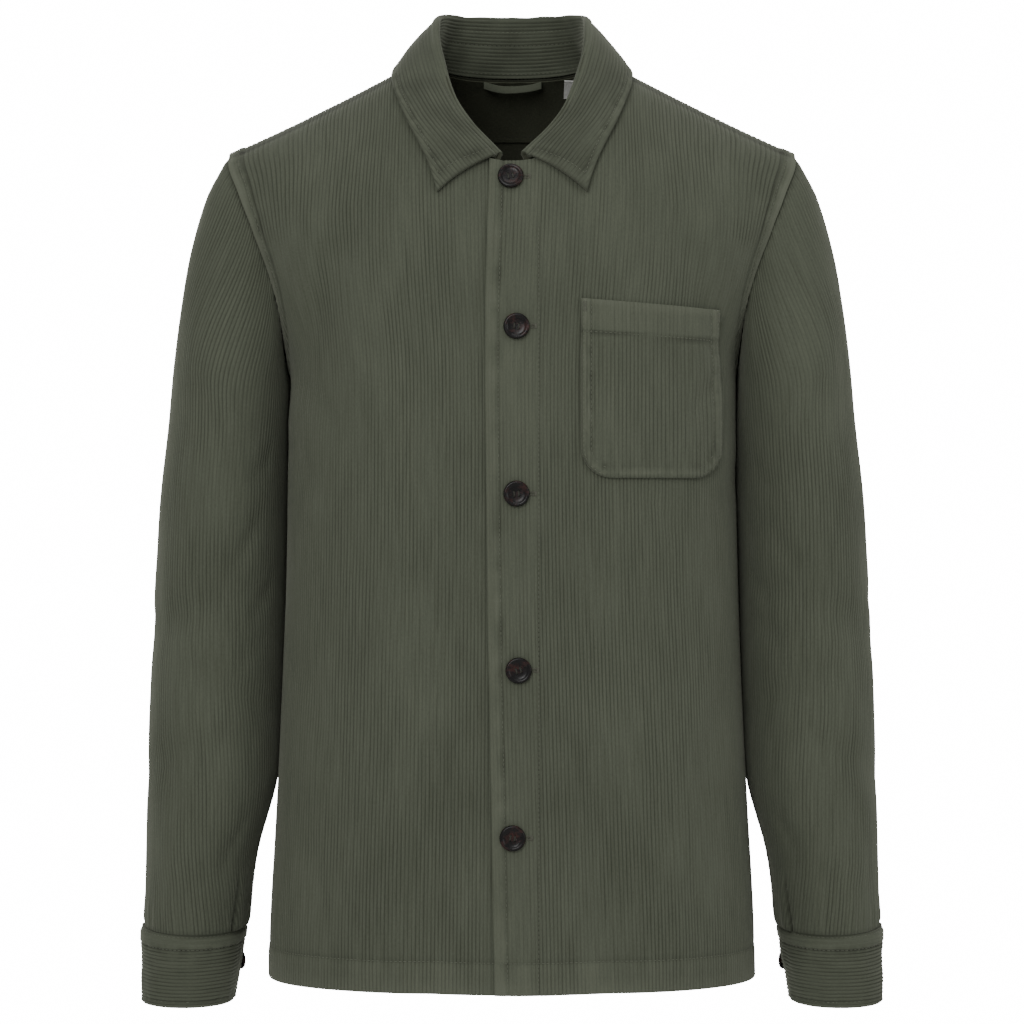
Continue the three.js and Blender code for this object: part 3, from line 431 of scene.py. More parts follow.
def grid(columns, rows, bottom, top, place, turned):
    """One layer over a patch: strips between columns, each cut off at its own bottom and top."""
    def cut(at, toward):
        low, high = bottom(at, toward), top(at, toward)
        return np.maximum(low[:, None], np.minimum(high[:, None], rows[None, :]))
    left, right = cut(columns[:-1], 1), cut(columns[1:], -1)
    column = np.concatenate([np.repeat(columns[:-1], len(rows)), np.repeat(columns[1:], len(rows))])
    row = np.concatenate([left.ravel(), right.ravel()])
    points = place(column, row)
    keys = np.round(points * 500).astype(np.int64)
    _, first, index = np.unique(keys, axis=0, return_index=True, return_inverse=True)
    index = index.ravel()
    column, row, points = column[first], row[first], points[first]
    a = index[:left.size].reshape(left.shape)
    b = index[left.size:].reshape(left.shape)
    low_a, high_a, low_b, high_b = [part.ravel() for part in (a[:, :-1], a[:, 1:], b[:, :-1], b[:, 1:])]
    rising = (np.linalg.norm(points[low_a] - points[high_b], axis=1)
              < np.linalg.norm(points[low_b] - points[high_a], axis=1))[:, None]
    one = np.where(rising, np.stack([low_a, low_b, high_b], 1), np.stack([low_a, low_b, high_a], 1))
    two = np.where(rising, np.stack([low_a, high_b, high_a], 1), np.stack([low_b, high_b, high_a], 1))
    faces = np.concatenate([one, two])
    real = (faces[:, 0] != faces[:, 1]) & (faces[:, 1] != faces[:, 2]) & (faces[:, 2] != faces[:, 0])
    faces = faces[real]
    return column, row, points, faces[:, ::-1] if turned else faces


def level_edge(value):
    """An edge of a patch that stays at one value."""
    return lambda c, toward: np.full(len(c), value)


def mirrored(points, faces):
    """The same surface on the jacket's other side."""
    return points * [-1, 1, 1], faces[:, ::-1]


def to_object(name, points, faces, uv=None, values=None):
    mesh = bpy.data.meshes.new(name)
    mesh.vertices.add(len(points))
    mesh.vertices.foreach_set("co", (np.asarray(points, float) / 1000).ravel())
    mesh.loops.add(faces.size)
    mesh.loops.foreach_set("vertex_index", faces.astype(np.int32).ravel())
    mesh.polygons.add(len(faces))
    mesh.polygons.foreach_set("loop_start", np.arange(0, faces.size, faces.shape[1], dtype=np.int32))
    mesh.update(calc_edges=True)
    if uv is not None:
        layer = mesh.uv_layers.new(name="cloth")
        layer.data.foreach_set("uv", uv[faces.ravel()].astype(np.float32).ravel())
    for key, value in (values or {}).items():
        attribute = mesh.attributes.new(key, "FLOAT", "POINT")
        attribute.data.foreach_set("value", value.astype(np.float32))
    mesh.polygons.foreach_set("use_smooth", np.full(len(faces), True))
    mesh.validate()
    obj = bpy.data.objects.new(name, mesh)
    bpy.context.scene.collection.objects.link(obj)
    return obj


def sharpen(obj, pairs):
    """Marks the edges between the given pairs of vertices as sharp."""
    mesh = obj.data
    ends = np.empty(len(mesh.edges) * 2, np.int32)
    mesh.edges.foreach_get("vertices", ends)
    ends = np.sort(ends.reshape(-1, 2), axis=1).astype(np.int64)
    many = len(mesh.vertices)
    wanted = np.sort(pairs, axis=1).astype(np.int64)
    marks = np.isin(ends[:, 0] * many + ends[:, 1], wanted[:, 0] * many + wanted[:, 1])
    attribute = mesh.attributes.get("sharp_edge")
    attribute = attribute or mesh.attributes.new("sharp_edge", "BOOLEAN", "EDGE")
    attribute.data.foreach_set("value", marks)


def shell(name, points, faces, lifts, cloth, uv, values):
    """Closed cloth from one layer: the outer face lifted by lifts[0], the inner by lifts[1] - cloth."""
    normals = mesh_normals(points, faces)
    outside = points + normals * lifts[0][:, None]
    inside = points + normals * (lifts[1] - cloth)[:, None]
    count = len(points)
    edges = np.concatenate([faces[:, [0, 1]], faces[:, [1, 2]], faces[:, [2, 0]]]).astype(np.int64)
    forward = edges[:, 0] * count + edges[:, 1]
    backward = edges[:, 1] * count + edges[:, 0]
    rim = edges[~np.isin(forward, backward)]
    a, b = rim[:, 0], rim[:, 1]
    used = np.unique(faces)
    rename = np.full(count * 2, -1)
    rename[used] = np.arange(len(used))
    rename[used + count] = np.arange(len(used)) + len(used)
    sides = np.concatenate([np.stack([b, a, a + count], 1), np.stack([b, a + count, b + count], 1)])
    all_faces = rename[np.concatenate([faces, faces[:, ::-1] + count, sides])]
    all_points = np.concatenate([outside[used], inside[used]])
    values = {key: np.concatenate([value[used], value[used] * 0]) for key, value in values.items()}
    values["inner"] = np.concatenate([np.zeros(len(used)), np.ones(len(used))])
    obj = to_object(name, all_points, all_faces, np.concatenate([uv[used], uv[used]]), values)
    sharpen(obj, np.concatenate([rename[rim], rename[rim + count]]))
    return obj


# Materials
def set_inputs(node, **values):
    for name, value in values.items():
        node.inputs[name.replace("_", " ")].default_value = value


def node_tree(name):
    """A new material, calls for its nodes, and its shader."""
    material = bpy.data.materials.new(name)
    material.use_nodes = True
    tree = material.node_tree
    tree.nodes.clear()
    output = tree.nodes.new("ShaderNodeOutputMaterial")
    shader = tree.nodes.new("ShaderNodeBsdfPrincipled")
    tree.links.new(shader.outputs["BSDF"], output.inputs["Surface"])
    return material, Nodes(tree), shader


class Nodes:
    """Short calls for making and joining shader nodes."""

    def __init__(self, tree):
        self.tree = tree

    def put(self, socket, value):
        if isinstance(value, bpy.types.NodeSocket):
            self.tree.links.new(value, socket)
        else:
            socket.default_value = value

    def math(self, operation, *values):
        node = self.tree.nodes.new("ShaderNodeMath")
        node.operation = operation
        for socket, value in zip(node.inputs, values):
            self.put(socket, value)
        return node.outputs[0]

    def times(self, a, b):
        return self.math("MULTIPLY", a, b)

    def plus(self, a, b):
        return self.math("ADD", a, b)

    def scaled(self, socket, *factors):
        node = self.tree.nodes.new("ShaderNodeVectorMath")
        node.operation = "MULTIPLY"
        self.put(node.inputs[0], socket)
        node.inputs[1].default_value = factors
        return node.outputs[0]

    def value(self, name):
        node = self.tree.nodes.new("ShaderNodeAttribute")
        node.attribute_name = name
        return node.outputs["Fac"]

    def uv(self, across, along):
        node = self.tree.nodes.new("ShaderNodeUVMap")
        node.uv_map = "cloth"
        return self.scaled(node.outputs[0], across, along, 1)

    def place(self, x, y, z):
        node = self.tree.nodes.new("ShaderNodeTexCoord")
        return self.scaled(node.outputs["Object"], x, y, z)

    def noise(self, vector, detail=2.0, rough=0.5):
        node = self.tree.nodes.new("ShaderNodeTexNoise")
        self.put(node.inputs["Vector"], vector)
        set_inputs(node, Scale=1.0, Detail=detail, Roughness=rough)
        return node.outputs["Fac"]

    def range(self, value, low, high, to_low, to_high):
        node = self.tree.nodes.new("ShaderNodeMapRange")
        for socket, item in zip(node.inputs, (value, low, high, to_low, to_high)):
            self.put(socket, item)
        return node.outputs[0]

    def mix(self, factor, a, b):
        node = self.tree.nodes.new("ShaderNodeMix")
        node.data_type = "RGBA"
        for index, value in ((0, factor), (6, a), (7, b)):
            self.put(node.inputs[index], value)
        return node.outputs[2]

    def bump(self, height, strength, distance):
        node = self.tree.nodes.new("ShaderNodeBump")
        set_inputs(node, Strength=strength, Distance=distance)
        self.put(node.inputs["Height"], height)
        return node.outputs[0]


def colour(red, green, blue):
    """Linear colour from screen values of 0 to 255."""
    shares = [v / 255 for v in (red, green, blue)]
    return tuple(((v + 0.055) / 1.055) ** 2.4 if v * 255 > 10 else v / 12.92 for v in shares) + (1,)


def corduroy():
    """Pile that is streaked and tufted, with painted shade in its grooves; lighter where worn, with
    painted shade at seams, stitch rows and edges, and painted highlight and shade on puckers.
    """
    material, n, shader = node_tree("corduroy")
    streaks = n.noise(n.uv(330, 26), 3, 0.6)
    patches = n.noise(n.uv(14, 9), 2, 0.5)
    fibres = n.noise(n.uv(2600, 1500), 2, 0.6)
    tufts = n.noise(n.uv(700, 420), 2, 0.6)
    light = n.plus(n.plus(n.times(streaks, 0.5), n.times(patches, 0.35)), n.times(tufts, 0.35))
    face = n.mix(n.range(light, 0.35, 0.85, 0.0, 1.0), colour(50, 54, 43), colour(74, 78, 66))
    face = n.mix(n.times(fibres, 0.35), face, colour(88, 91, 79))
    # Painted shade in the grooves: the lower the pile value, the further the colour goes towards near
    # black.
    face = n.mix(n.times(n.range(n.value("pile"), 0.0, 0.75, 1.0, 0.0), 0.5), face, colour(22, 24, 17))
    worn_and_shaded = n.value("worn_and_shaded")
    # Lighter where the pile is worn, and painted highlight on the raised side of puckers and waves.
    face = n.mix(n.range(worn_and_shaded, 0.0, 1.0, 0.0, 0.5), face, colour(98, 101, 88))
    # Painted shade: where the value is below 0 the colour goes towards near black, as at stitch rows,
    # seam lines and edges, and on the sunk side of puckers.
    face = n.mix(n.range(worn_and_shaded, -1.0, 0.0, 0.85, 0.0), face, colour(20, 21, 15))
    wrong = n.mix(n.noise(n.uv(1300, 1300), 1, 0.5), colour(46, 48, 38), colour(62, 64, 52))
    n.put(shader.inputs["Base Color"], n.mix(n.value("inner"), face, wrong))
    set_inputs(shader, Roughness=0.92, Specular_IOR_Level=0.18, Sheen_Weight=0.22, Sheen_Roughness=0.45,
               Sheen_Tint=colour(205, 208, 190))
    height = n.plus(n.times(tufts, 0.6), n.times(fibres, 0.4))
    n.put(shader.inputs["Normal"], n.bump(height, 0.7, 0.00035))
    return material


def plain_cloth(name, dark, light, weave=1400):
    material, n, shader = node_tree(name)
    threads = n.times(n.noise(n.uv(weave, weave * 0.25)), n.noise(n.uv(weave * 0.25, weave)))
    threads = n.range(threads, 0.12, 0.4, 0.0, 1.0)
    tone = n.times(n.plus(threads, n.noise(n.uv(25, 25))), 0.5)
    n.put(shader.inputs["Base Color"], n.mix(tone, dark, light))
    set_inputs(shader, Roughness=0.9, Specular_IOR_Level=0.15)
    n.put(shader.inputs["Normal"], n.bump(threads, 0.5, 0.0002))
    return material


def horn_like():
    material, n, shader = node_tree("horn")
    swirl = n.noise(n.place(90, 90, 160), 3, 0.6)
    veins = n.noise(n.place(420, 300, 420), 4, 0.65)
    amount = n.range(n.plus(n.times(swirl, 0.6), n.times(veins, 0.4)), 0.5, 0.74, 0.0, 1.0)
    n.put(shader.inputs["Base Color"], n.mix(amount, colour(9, 7, 7), colour(58, 32, 28)))
    n.put(shader.inputs["Roughness"], n.range(veins, 0.3, 0.7, 0.22, 0.34))
    set_inputs(shader, Specular_IOR_Level=0.2)
    n.put(shader.inputs["Normal"], n.bump(veins, 0.25, 0.0002))
    return material


def thread(name, dark, light):
    material, n, shader = node_tree(name)
    twist = n.noise(n.place(2200, 2200, 2600))
    n.put(shader.inputs["Base Color"], n.mix(twist, dark, light))
    set_inputs(shader, Roughness=0.75)
    n.put(shader.inputs["Normal"], n.bump(twist, 0.4, 0.0001))
    return material


olive = corduroy()
dark_lining = plain_cloth("facing", colour(46, 48, 38), colour(66, 68, 55))
horn = horn_like()
olive_thread = thread("olive_thread", colour(58, 61, 49), colour(94, 97, 83))
dark_thread = thread("dark_thread", colour(18, 18, 13), colour(46, 46, 36))
hole_thread = thread("hole_thread", colour(44, 45, 36), colour(84, 85, 72))
woven_tape = plain_cloth("label", colour(190, 190, 184), colour(226, 226, 222), 1100)


# Body panels
# In the relief functions, here and below, each bell or smooth is one feature of the cloth: how high it
# stands, or how much it is lightened by wear or darkened by painted shade, where it lies, and how wide
# it is, all lengths in millimetres.
# Short creases: from an x and a level to another, bow, width, height
FRONT_CREASES = [
    (-4, -119, 14, -126, 1, 3.5, -1.5), (-7, -201, -3, -219, 0.5, 3, -1.2),
    (0, -262, 6, -287, 1, 4.5, -1.2), (-3, -380, 5, -405, 1, 5, -1.3),
    (98, -350, 127, -388, 3, 7, -2), (-168, -262, -136, -308, 4, 7, -2.2),
    (-176, -304, -150, -356, -3, 8, -1.8), (165, -258, 138, -300, -3, 7, -2),
    (176, -324, 156, -378, 3, 9, -1.7), (-170, -468, -146, -552, 4, 9, -1.8),
    (173, -498, 149, -596, -5, 10, -1.9), (-158, -612, -149, -700, 2, 8, -1.6),
    (-108, -502, -98, -606, 3, 10, -1.4), (-62, -150, -42, -216, 3, 8, 1.1),
    (76, -138, 58, -192, -2, 8, 1.1), (26, -520, 21, -642, 1, 10, 1.5),
    (140, -622, 146, -712, -2, 8, -1.5), (96, -520, 104, -590, 3, 9, 1.2),
    (-120, -400, -112, -470, -3, 11, 1.3),
]
BACK_CREASES = [
    (-152, -250, -118, -304, 3, 8, -2.2), (154, -246, 126, -314, -3, 8, -2),
    (-60, -198, -50, -294, 3, 12, -1.4), (48, -178, 60, -282, -3, 11, 1.3),
    (-166, -418, -138, -504, 4, 10, -1.8), (169, -438, 138, -546, -5, 10, -2),
    (-92, -500, -102, -626, 4, 11, -1.6), (101, -556, 91, -696, -3, 10, -1.7),
    (12, -520, 22, -646, 4, 12, 1.5), (-32, -596, -38, -706, 2, 9, -1.4),
    (150, -618, 159, -706, 2, 8, -1.5), (-148, -640, -156, -712, 3, 8, -1.4),
    (84, -330, 70, -420, -3, 10, 1.3), (-120, -330, -108, -396, 2, 9, -1.5),
]


def edge_part(level, table):
    """Part of the quarter arc where a front's edge lies at each level."""
    level = np.asarray(level, float)
    return lookup(table, level) / section_length(FRONT, rise_at(FRONT, level))


def edge_shift(rise, table):
    """How far the edge has moved, at each rise, from where it is at the neck."""
    rises, which = distinct(rise)
    levels = level_at(FRONT, rises)
    shift = edge_part(levels, table) - edge_part(np.array([-NECK_DEPTH]), table)
    return np.where(levels > -NECK_DEPTH, 0, shift)[which].reshape(rise.shape)


def lap_lift(x):
    """How far the top front stands off the torso where it laps over the other."""
    return LAP_LIFT * (1 - smooth((x - LAP_FADE[0]) / (LAP_FADE[1] - LAP_FADE[0])))


WALES_IN_QUARTER = 92
QUARTER = 275.0
# Stitch rows, as distances from the hem, the front edge, the armhole and the shoulder seam, and an x
HEM_ROW = 24.5
EDGE_ROW = 10.5
ARMHOLE_ROW = 8
SHOULDER_ROW = 25
BACK_SHOULDER_ROW = 6.5
FACING_X = 20.5
EDGE_ROW_TOP, FACING_ROW_TOP = -104, -150
ARMHOLE_BAND = 11
HEM_FADE = 90
# Levels between which the rows of the mesh lie closer, round the underarm
FINE_LEVELS = (-268, -168)
LEAN_LEVEL = -205
# x and level past which the distance from the armhole is worked out
ARMHOLE_NEAR = (120, -290)
FAR = 99.0
hem_rise = [float(rise_at(side, HEM)) for side in (FRONT, BACK)]


def hem_follow(side, part, rise):
    """Rise moved so that the rows near the hem run along it."""
    up = HEM_RISE * (1 - np.abs(part)) ** 2
    return rise + up * (1 - smooth((rise - hem_rise[side]) / HEM_FADE))


def panel_rows(side, end):
    start = hem_rise[side]
    rows = [start, start + 0.9, start + 4, start + 12, start + 20]
    rows += [start + HEM_ROW + step for step in (-1.4, 0, 1.4, 5)]
    low, high = (float(rise_at(side, level)) for level in FINE_LEVELS)
    for to, count in ((low, 48), (high, 15), (end, 20)):
        rows += list(np.linspace(rows[-1], to, count)[1:])
    return np.array(rows)


def armhole_distance(side, points):
    """Distance of each point from the armhole's line, or FAR where that is a long way off."""
    line = armholes[side][3]
    near = np.full(len(points), FAR)
    close = (np.abs(points[:, 0]) > ARMHOLE_NEAR[0]) & (points[:, 2] > ARMHOLE_NEAR[1])
    left = points[close].copy()
    left[:, 0] = np.abs(left[:, 0])
    best = np.full(len(left), FAR)
    for a, b in zip(line[:-1], line[1:]):
        span = b - a
        t = np.clip(((left - a) @ span) / (span @ span), 0, 1)
        best = np.minimum(best, np.linalg.norm(left - a - t[:, None] * span, axis=1))
    near[close] = best
    return near


def seam_marks(distance, row, width, tall):
    """Height, wear and painted shade of a felled seam: a raised band from 0 to width with a row of
    stitches in it; the band is lighter where worn, with painted shade along the seam, at the stitch row
    and past the band's edge.
    """
    band = smooth(distance / 0.7 + 0.35) * (1 - smooth((distance - width + 1.2) / 1.6))
    height = tall * band - 0.5 * bell((distance - row) / 1.1)
    # Lighter worn pile near the seam and over the band; painted shade along the seam line itself.
    wear_and_shade = 0.6 * bell((distance - 2.2) / 2.4) + 0.28 * band - 0.5 * bell(distance / 1.1)
    # Painted shade at the stitch row, and a painted shadow just past the band's edge.
    wear_and_shade -= 0.5 * bell((distance - row) / 0.9) + 0.5 * bell((distance - width - 0.4) / 1.6)
    return height, np.clip(wear_and_shade, -1, 1), band


def wale_strength(across, along, seed):
    """How strong the wales stand, from faint to full, in soft patches over millimetres of cloth."""
    broad, fine = noise(across / 30, along / 70, seed), noise(across / 8, along / 44, seed + 50)
    return 0.4 + 0.75 * smooth((broad * 0.6 + fine * 0.4 - 0.22) / 0.52)


def panel_relief(side, points, level, from_hem):
    """Height of the panel's folds, its wear and painted shade, and how strong its wales are."""
    x = points[:, 0]
    height = body_folds(side, x, level)
    height += creases(FRONT_CREASES if side == FRONT else BACK_CREASES, x, level)
    strength = wale_strength(x, level, 3 + side)
    arm = armhole_distance(side, points)
    tall, wear_and_shade, band = seam_marks(arm, ARMHOLE_ROW, ARMHOLE_BAND, 1.1)
    puckers = noise(points[:, 2] / 3.4, x / 9, 19 + side) - 0.5
    height += tall + puckers * 1.3 * bell((arm - ARMHOLE_ROW) / 4)
    # Painted highlight and painted shade on the armhole seam's puckers, following their height.
    wear_and_shade += puckers * 0.6 * bell((arm - 7) / 5)
    strength *= 1 - 0.62 * band
    faint = smooth((66 - arm) / 24) * smooth((level + 268) / 34) * smooth((-122 - level) / 22)
    strength *= 1 - 0.72 * faint
    hem = smooth((26 - from_hem) / 1.5)
    waves = noise(x / 9, from_hem * 0, 23 + side) - 0.5
    height += (0.55 * hem - 0.55 * bell((from_hem - HEM_ROW) / 1.6)
               + waves * 1.1 * bell((from_hem - 16) / 11))
    height -= 0.55 * (1 - smooth(from_hem / 1.2))
    # Lighter worn pile along the hem and its band; painted shade at the hem's stitch row.
    wear_and_shade += 0.3 * bell((from_hem - 2) / 2.5) + 0.2 * hem - 0.4 * bell((from_hem - HEM_ROW) / 1.2)
    # Painted highlight and painted shade on the hem's waves, following their height.
    wear_and_shade += waves * 0.3 * bell((from_hem - 16) / 11)
    return height, wear_and_shade, strength


patches = {}
# Steps over a face for its normals, and how far a stitch's middle is above it
COLUMN_STEP, COLUMN_STEP_MM, ROW_STEP = 0.002, 0.5, 0.6
STITCH_LIFT = 0.12


def cover(name, layer, patch, count, along, cloth=CLOTH, mirror=False):
    """A piece of corduroy over a patch; count is the place across in wales and along runs down them."""
    column, row, points, faces = layer
    height, wear_and_shade, strength = patch.relief(column, row, points)
    if mirror:
        points, faces = mirrored(points, faces)
    patches[name] = patch
    each = 0.6 + 0.75 * noise(np.floor(count + 0.5) * WALE_SPREAD, along / 28, 61)
    tall = wale(count)
    wales = (tall * WALE_HEIGHT - WALE_SINK) * strength * each
    uv = np.stack([count * PITCH / 1000, along / 1000], 1)
    shown = np.clip(strength * each, 0, 1)
    # The pile value sets the painted shade in the grooves; the other value lightens the colour with
    # wear and darkens it with painted shade.
    obj = shell(name, points, faces, (height + wales, height), cloth, uv,
                {"pile": tall * shown + (1 - shown) * 0.75, "worn_and_shaded": wear_and_shade})
    obj.data.materials.append(olive)
    return obj


class Patch:
    """A cloth's outer face over two coordinates: its place, its relief, which way its normal turns, and
    the step in the first coordinate, a part of an arc or millimetres, over which that is measured."""

    def __init__(self, place, relief, sign, step=COLUMN_STEP):
        self.place, self.relief, self.sign, self.step = place, relief, sign, step

    def on(self, a, b, lift):
        """Points and normals on the face at two coordinates, with the relief's height and a lift."""
        a, b = np.broadcast_arrays(np.asarray(a, float), np.asarray(b, float))
        points = self.place(a, b)
        across = self.place(a + self.step, b) - self.place(a - self.step, b)
        along = self.place(a, b + ROW_STEP) - self.place(a, b - ROW_STEP)
        normals = unit(np.cross(across, along)) * self.sign
        height = self.relief(a, b, points)[0]
        return points + normals * (height + lift)[:, None], normals

    def row(self, a, b, lift=STITCH_LIFT):
        """A row of stitches along a line over the face."""
        return sewn_row(*self.on(a, b, lift))


def wander(c, rise, seed):
    """Sideways wander of each wale, as a part of the quarter arc."""
    return (noise(np.floor(c * WALES_IN_QUARTER + 0.5) * WALE_SPREAD, rise / 38, seed) - 0.5) * 0.0012


def shoulder_lean(side, c, rise):
    """How far the wales lean to the neck where the cloth turns back over the shoulder."""
    low = float(rise_at(side, LEAN_LEVEL))
    up = smooth((rise - low) / (RIDGE[side] - low))
    across = smooth((np.abs(c) - neck_part) / 0.24) * smooth((arm_edge - np.abs(c)) / 0.2)
    return -0.05 * up * across * np.sign(c)


def front_panel(name, on_top):
    table = EDGE_OVER if on_top else EDGE_UNDER
    edge = float(edge_part(np.array([-NECK_DEPTH]), table)[0])
    mirror = 1 if on_top else -1
    columns = wale_columns(-edge, side_edge, WALES_IN_QUARTER,
                           [-edge, -edge + 0.0035, neck_part, arm_edge, side_edge], WALE_FLANKS)

    def part_of(c, rise):
        aside = wander(c, rise, 5) * smooth((c + edge) * 60) * smooth((arm_edge - c) * 60)
        shift = edge_shift(rise, table) * (1 - smooth((c - 0.25) / 0.5))
        return c + aside - shift + shoulder_lean(FRONT, c, rise)

    def place(c, rise):
        follow = hem_follow(FRONT, c, rise)
        return torso(FRONT, part_of(c, follow) * mirror, follow)

    def relief(c, rise, points):
        level = level_at(FRONT, rise)
        height, wear_and_shade, strength = panel_relief(FRONT, points, level, rise - hem_rise[FRONT])
        from_edge = (c + edge) * QUARTER
        from_top = RIDGE[FRONT] - SEAM_FORWARD - rise
        from_row = from_top - SHOULDER_ROW
        over = smooth((c - neck_part) * 40)
        height += over * (0.6 * smooth(-from_row / 2) - 0.8 * bell(from_row / 2.6))
        # Lighter worn pile beside the shoulder seam's stitch row, and painted shade in the row itself.
        wear_and_shade += over * (0.3 * bell((from_row + 6) / 5) - bell(from_row / 3.2))
        height -= 0.5 * (1 - smooth(from_edge / 1.3))
        # Lighter worn pile near the front edge, and painted shade right at the edge.
        wear_and_shade += 0.18 * bell((from_edge - 1) / 2.4) - 0.3 * bell(from_edge / 0.9)
        if on_top:
            height += lap_lift(points[:, 0])
            placket = 1 - smooth((points[:, 0] - 19) / 3)
            puckers = noise(rise * 0, rise / 3.2, 9) - 0.5
            sewn = bell((points[:, 0] - FACING_X) / 1.3) * (level < FACING_ROW_TOP)
            height += 0.55 * smooth((11 - from_edge) / 1.5) - 0.6 * bell((from_edge - EDGE_ROW) / 1.4)
            height += puckers * 1.5 * bell((from_edge - 8) / 5) - 0.4 * sewn
            # Lighter worn pile along the edge band, and painted shade at the edge's stitch row.
            wear_and_shade += 0.16 * bell((from_edge - 5) / 5) - 0.4 * bell((from_edge - EDGE_ROW) / 1.1)
            # Placket a little lighter from wear; painted highlight and painted shade on the edge's
            # puckers; painted shade at the facing's stitch row.
            wear_and_shade += 0.08 * placket + puckers * 0.6 * bell((from_edge - 8) / 4.5) - 0.25 * sewn
            strength *= 1 - 0.35 * placket - 0.25 * bell((from_edge - 4) / 5)
        return height, wear_and_shade, strength

    layer = grid(columns, panel_rows(FRONT, RIDGE[FRONT] - SEAM_FORWARD), level_edge(hem_rise[FRONT]),
                 lambda c, toward: top_edge(FRONT, c, toward), place, not on_top)
    patch = Patch(place, relief, mirror)
    patch.edge, patch.table = edge, table
    return cover(name, layer, patch, layer[0] * WALES_IN_QUARTER, layer[1])


def back_panel():
    keep = [0, neck_part, arm_edge, side_edge]
    half = wale_columns(0, side_edge, WALES_IN_QUARTER, keep, WALE_FLANKS)
    columns = np.concatenate([-half[:0:-1], half])

    def place(c, rise):
        follow = hem_follow(BACK, c, rise)
        aside = wander(c, rise, 6) * smooth((arm_edge - np.abs(c)) * 60) * smooth(np.abs(c) * 60)
        return torso(BACK, c + aside + shoulder_lean(BACK, c, follow), follow)

    def relief(c, rise, points):
        level = level_at(BACK, np.minimum(rise, RIDGE[BACK]))
        height, wear_and_shade, strength = panel_relief(BACK, points, level, rise - hem_rise[BACK])
        over = np.abs(c) > neck_part
        from_edge = RIDGE[BACK] + SEAM_FORWARD - GAP - rise
        row = bell(from_edge - BACK_SHOULDER_ROW)
        height += over * (0.5 * smooth((8 - from_edge) / 1.5) - 0.5 * row)
        height -= over * 0.5 * (1 - smooth(from_edge / 1.2))
        # Lighter worn pile near the shoulder seam, and painted shade at its stitch row.
        wear_and_shade += over * (0.3 * bell((from_edge - 1) / 2.5) - 0.3 * row)
        return height, wear_and_shade, strength

    past_ridge = RIDGE[BACK] + np.array([0.3, 0.55, 0.8, 1]) * SEAM_FORWARD
    layer = grid(columns, np.concatenate([panel_rows(BACK, RIDGE[BACK]), past_ridge]),
                 level_edge(hem_rise[BACK]), lambda c, toward: top_edge(BACK, c, toward), place, True)
    return cover("back_cloth", layer, Patch(place, relief, -1), layer[0] * WALES_IN_QUARTER, layer[1])


# Sleeves
def half_round(level):
    """Angle table of the sleeve's half section at each level, with the lengths along it."""
    level = np.atleast_1d(level)
    half = (lookup(SLEEVE, level, 1) - lookup(SLEEVE, level, 2)) / 2
    depth = lookup(SLEEVE, level, 3)
    angles = np.linspace(0, math.pi, 181)
    across = np.diff(np.cos(angles)) * half[:, None]
    along = np.diff(np.sin(angles)) * depth[:, None]
    return angles, running(np.hypot(across, along))


sleeve_width = float(half_round(UNDERARM)[1][0, -1])


def sleeve_starts(columns):
    """Points and normals of the armhole where each column of the sleeve starts."""
    side = np.where(columns >= 0, FRONT, BACK)
    points = np.zeros((len(columns), 3))
    normals = np.zeros((len(columns), 3))
    for which in (FRONT, BACK):
        here = side == which
        if not here.any():
            continue
        parts, rises, lengths, _ = armholes[which]
        length = np.abs(columns[here]) / sleeve_width * lengths[-1]
        part, rise = np.interp(length, lengths, parts), np.interp(length, lengths, rises)
        points[here] = torso(which, part, rise)
        normals[here] = torso_normal(which, part, rise)
    points[:, 0] += GAP * 2 * smooth(np.abs(columns) / sleeve_width * 2 - 1)
    return points, normals


def sleeve_angle(column, level):
    """Angle round the section for each place on the cloth, and half the section's girth."""
    levels, which = distinct(level)
    angles, lengths = half_round(levels)
    total = lengths[which, -1]
    reach = np.abs(column)
    length = np.where(level > UNDERARM, reach / sleeve_width * total, np.minimum(reach, total))
    cell, t = find(lengths / lengths[:, -1:], which, length / total)
    return np.sign(column) * lerp(angles[cell - 1], angles[cell], t), total


def sleeve_round(angle, level):
    outer, inner = lookup(SLEEVE, level, 1), lookup(SLEEVE, level, 2)
    x = (outer + inner) / 2 + (outer - inner) / 2 * np.cos(angle)
    y = lookup(SLEEVE, level, 4) - lookup(SLEEVE, level, 3) * np.sin(angle)
    return np.stack([x, y, level], -1)


def sleeve_points(column, level):
    unique, which = distinct(column, 6)
    starts, _ = sleeve_starts(unique)
    there_angle, _ = sleeve_angle(unique, starts[:, 2])
    offset = (starts - sleeve_round(there_angle, starts[:, 2]))[which]
    angle, total = sleeve_angle(column, level)
    fade = 1 - smooth((starts[which, 2] - level) / SLEEVE_FADE)
    points = sleeve_round(angle, level) + offset * fade[:, None]
    seam = (level <= UNDERARM) & (np.abs(column) > total - 0.01)
    points[seam] = sleeve_round(np.full(seam.sum(), math.pi), level[seam])
    points[:, 2] -= CUFF_DROP * np.clip(np.sin(angle), 0, 1) * (1 - smooth((level - SLEEVE[0][0]) / 70))
    return points


def sleeve_end(columns):
    """Level where each column ends: at the cuff, or higher where the taper takes it into the seam."""
    low = np.full(len(columns), float(SLEEVE[0][0]))
    high = np.full(len(columns), float(UNDERARM))
    for _ in range(30):
        middle = (low + high) / 2
        wide = half_round(middle)[1][:, -1] > np.abs(columns)
        high = np.where(wide, middle, high)
        low = np.where(wide, low, middle)
    end = np.where(np.abs(columns) <= half_round(SLEEVE[0][0])[1][0, -1], SLEEVE[0][0], low)
    return np.where(np.abs(columns) > sleeve_width - 0.01, UNDERARM, end)


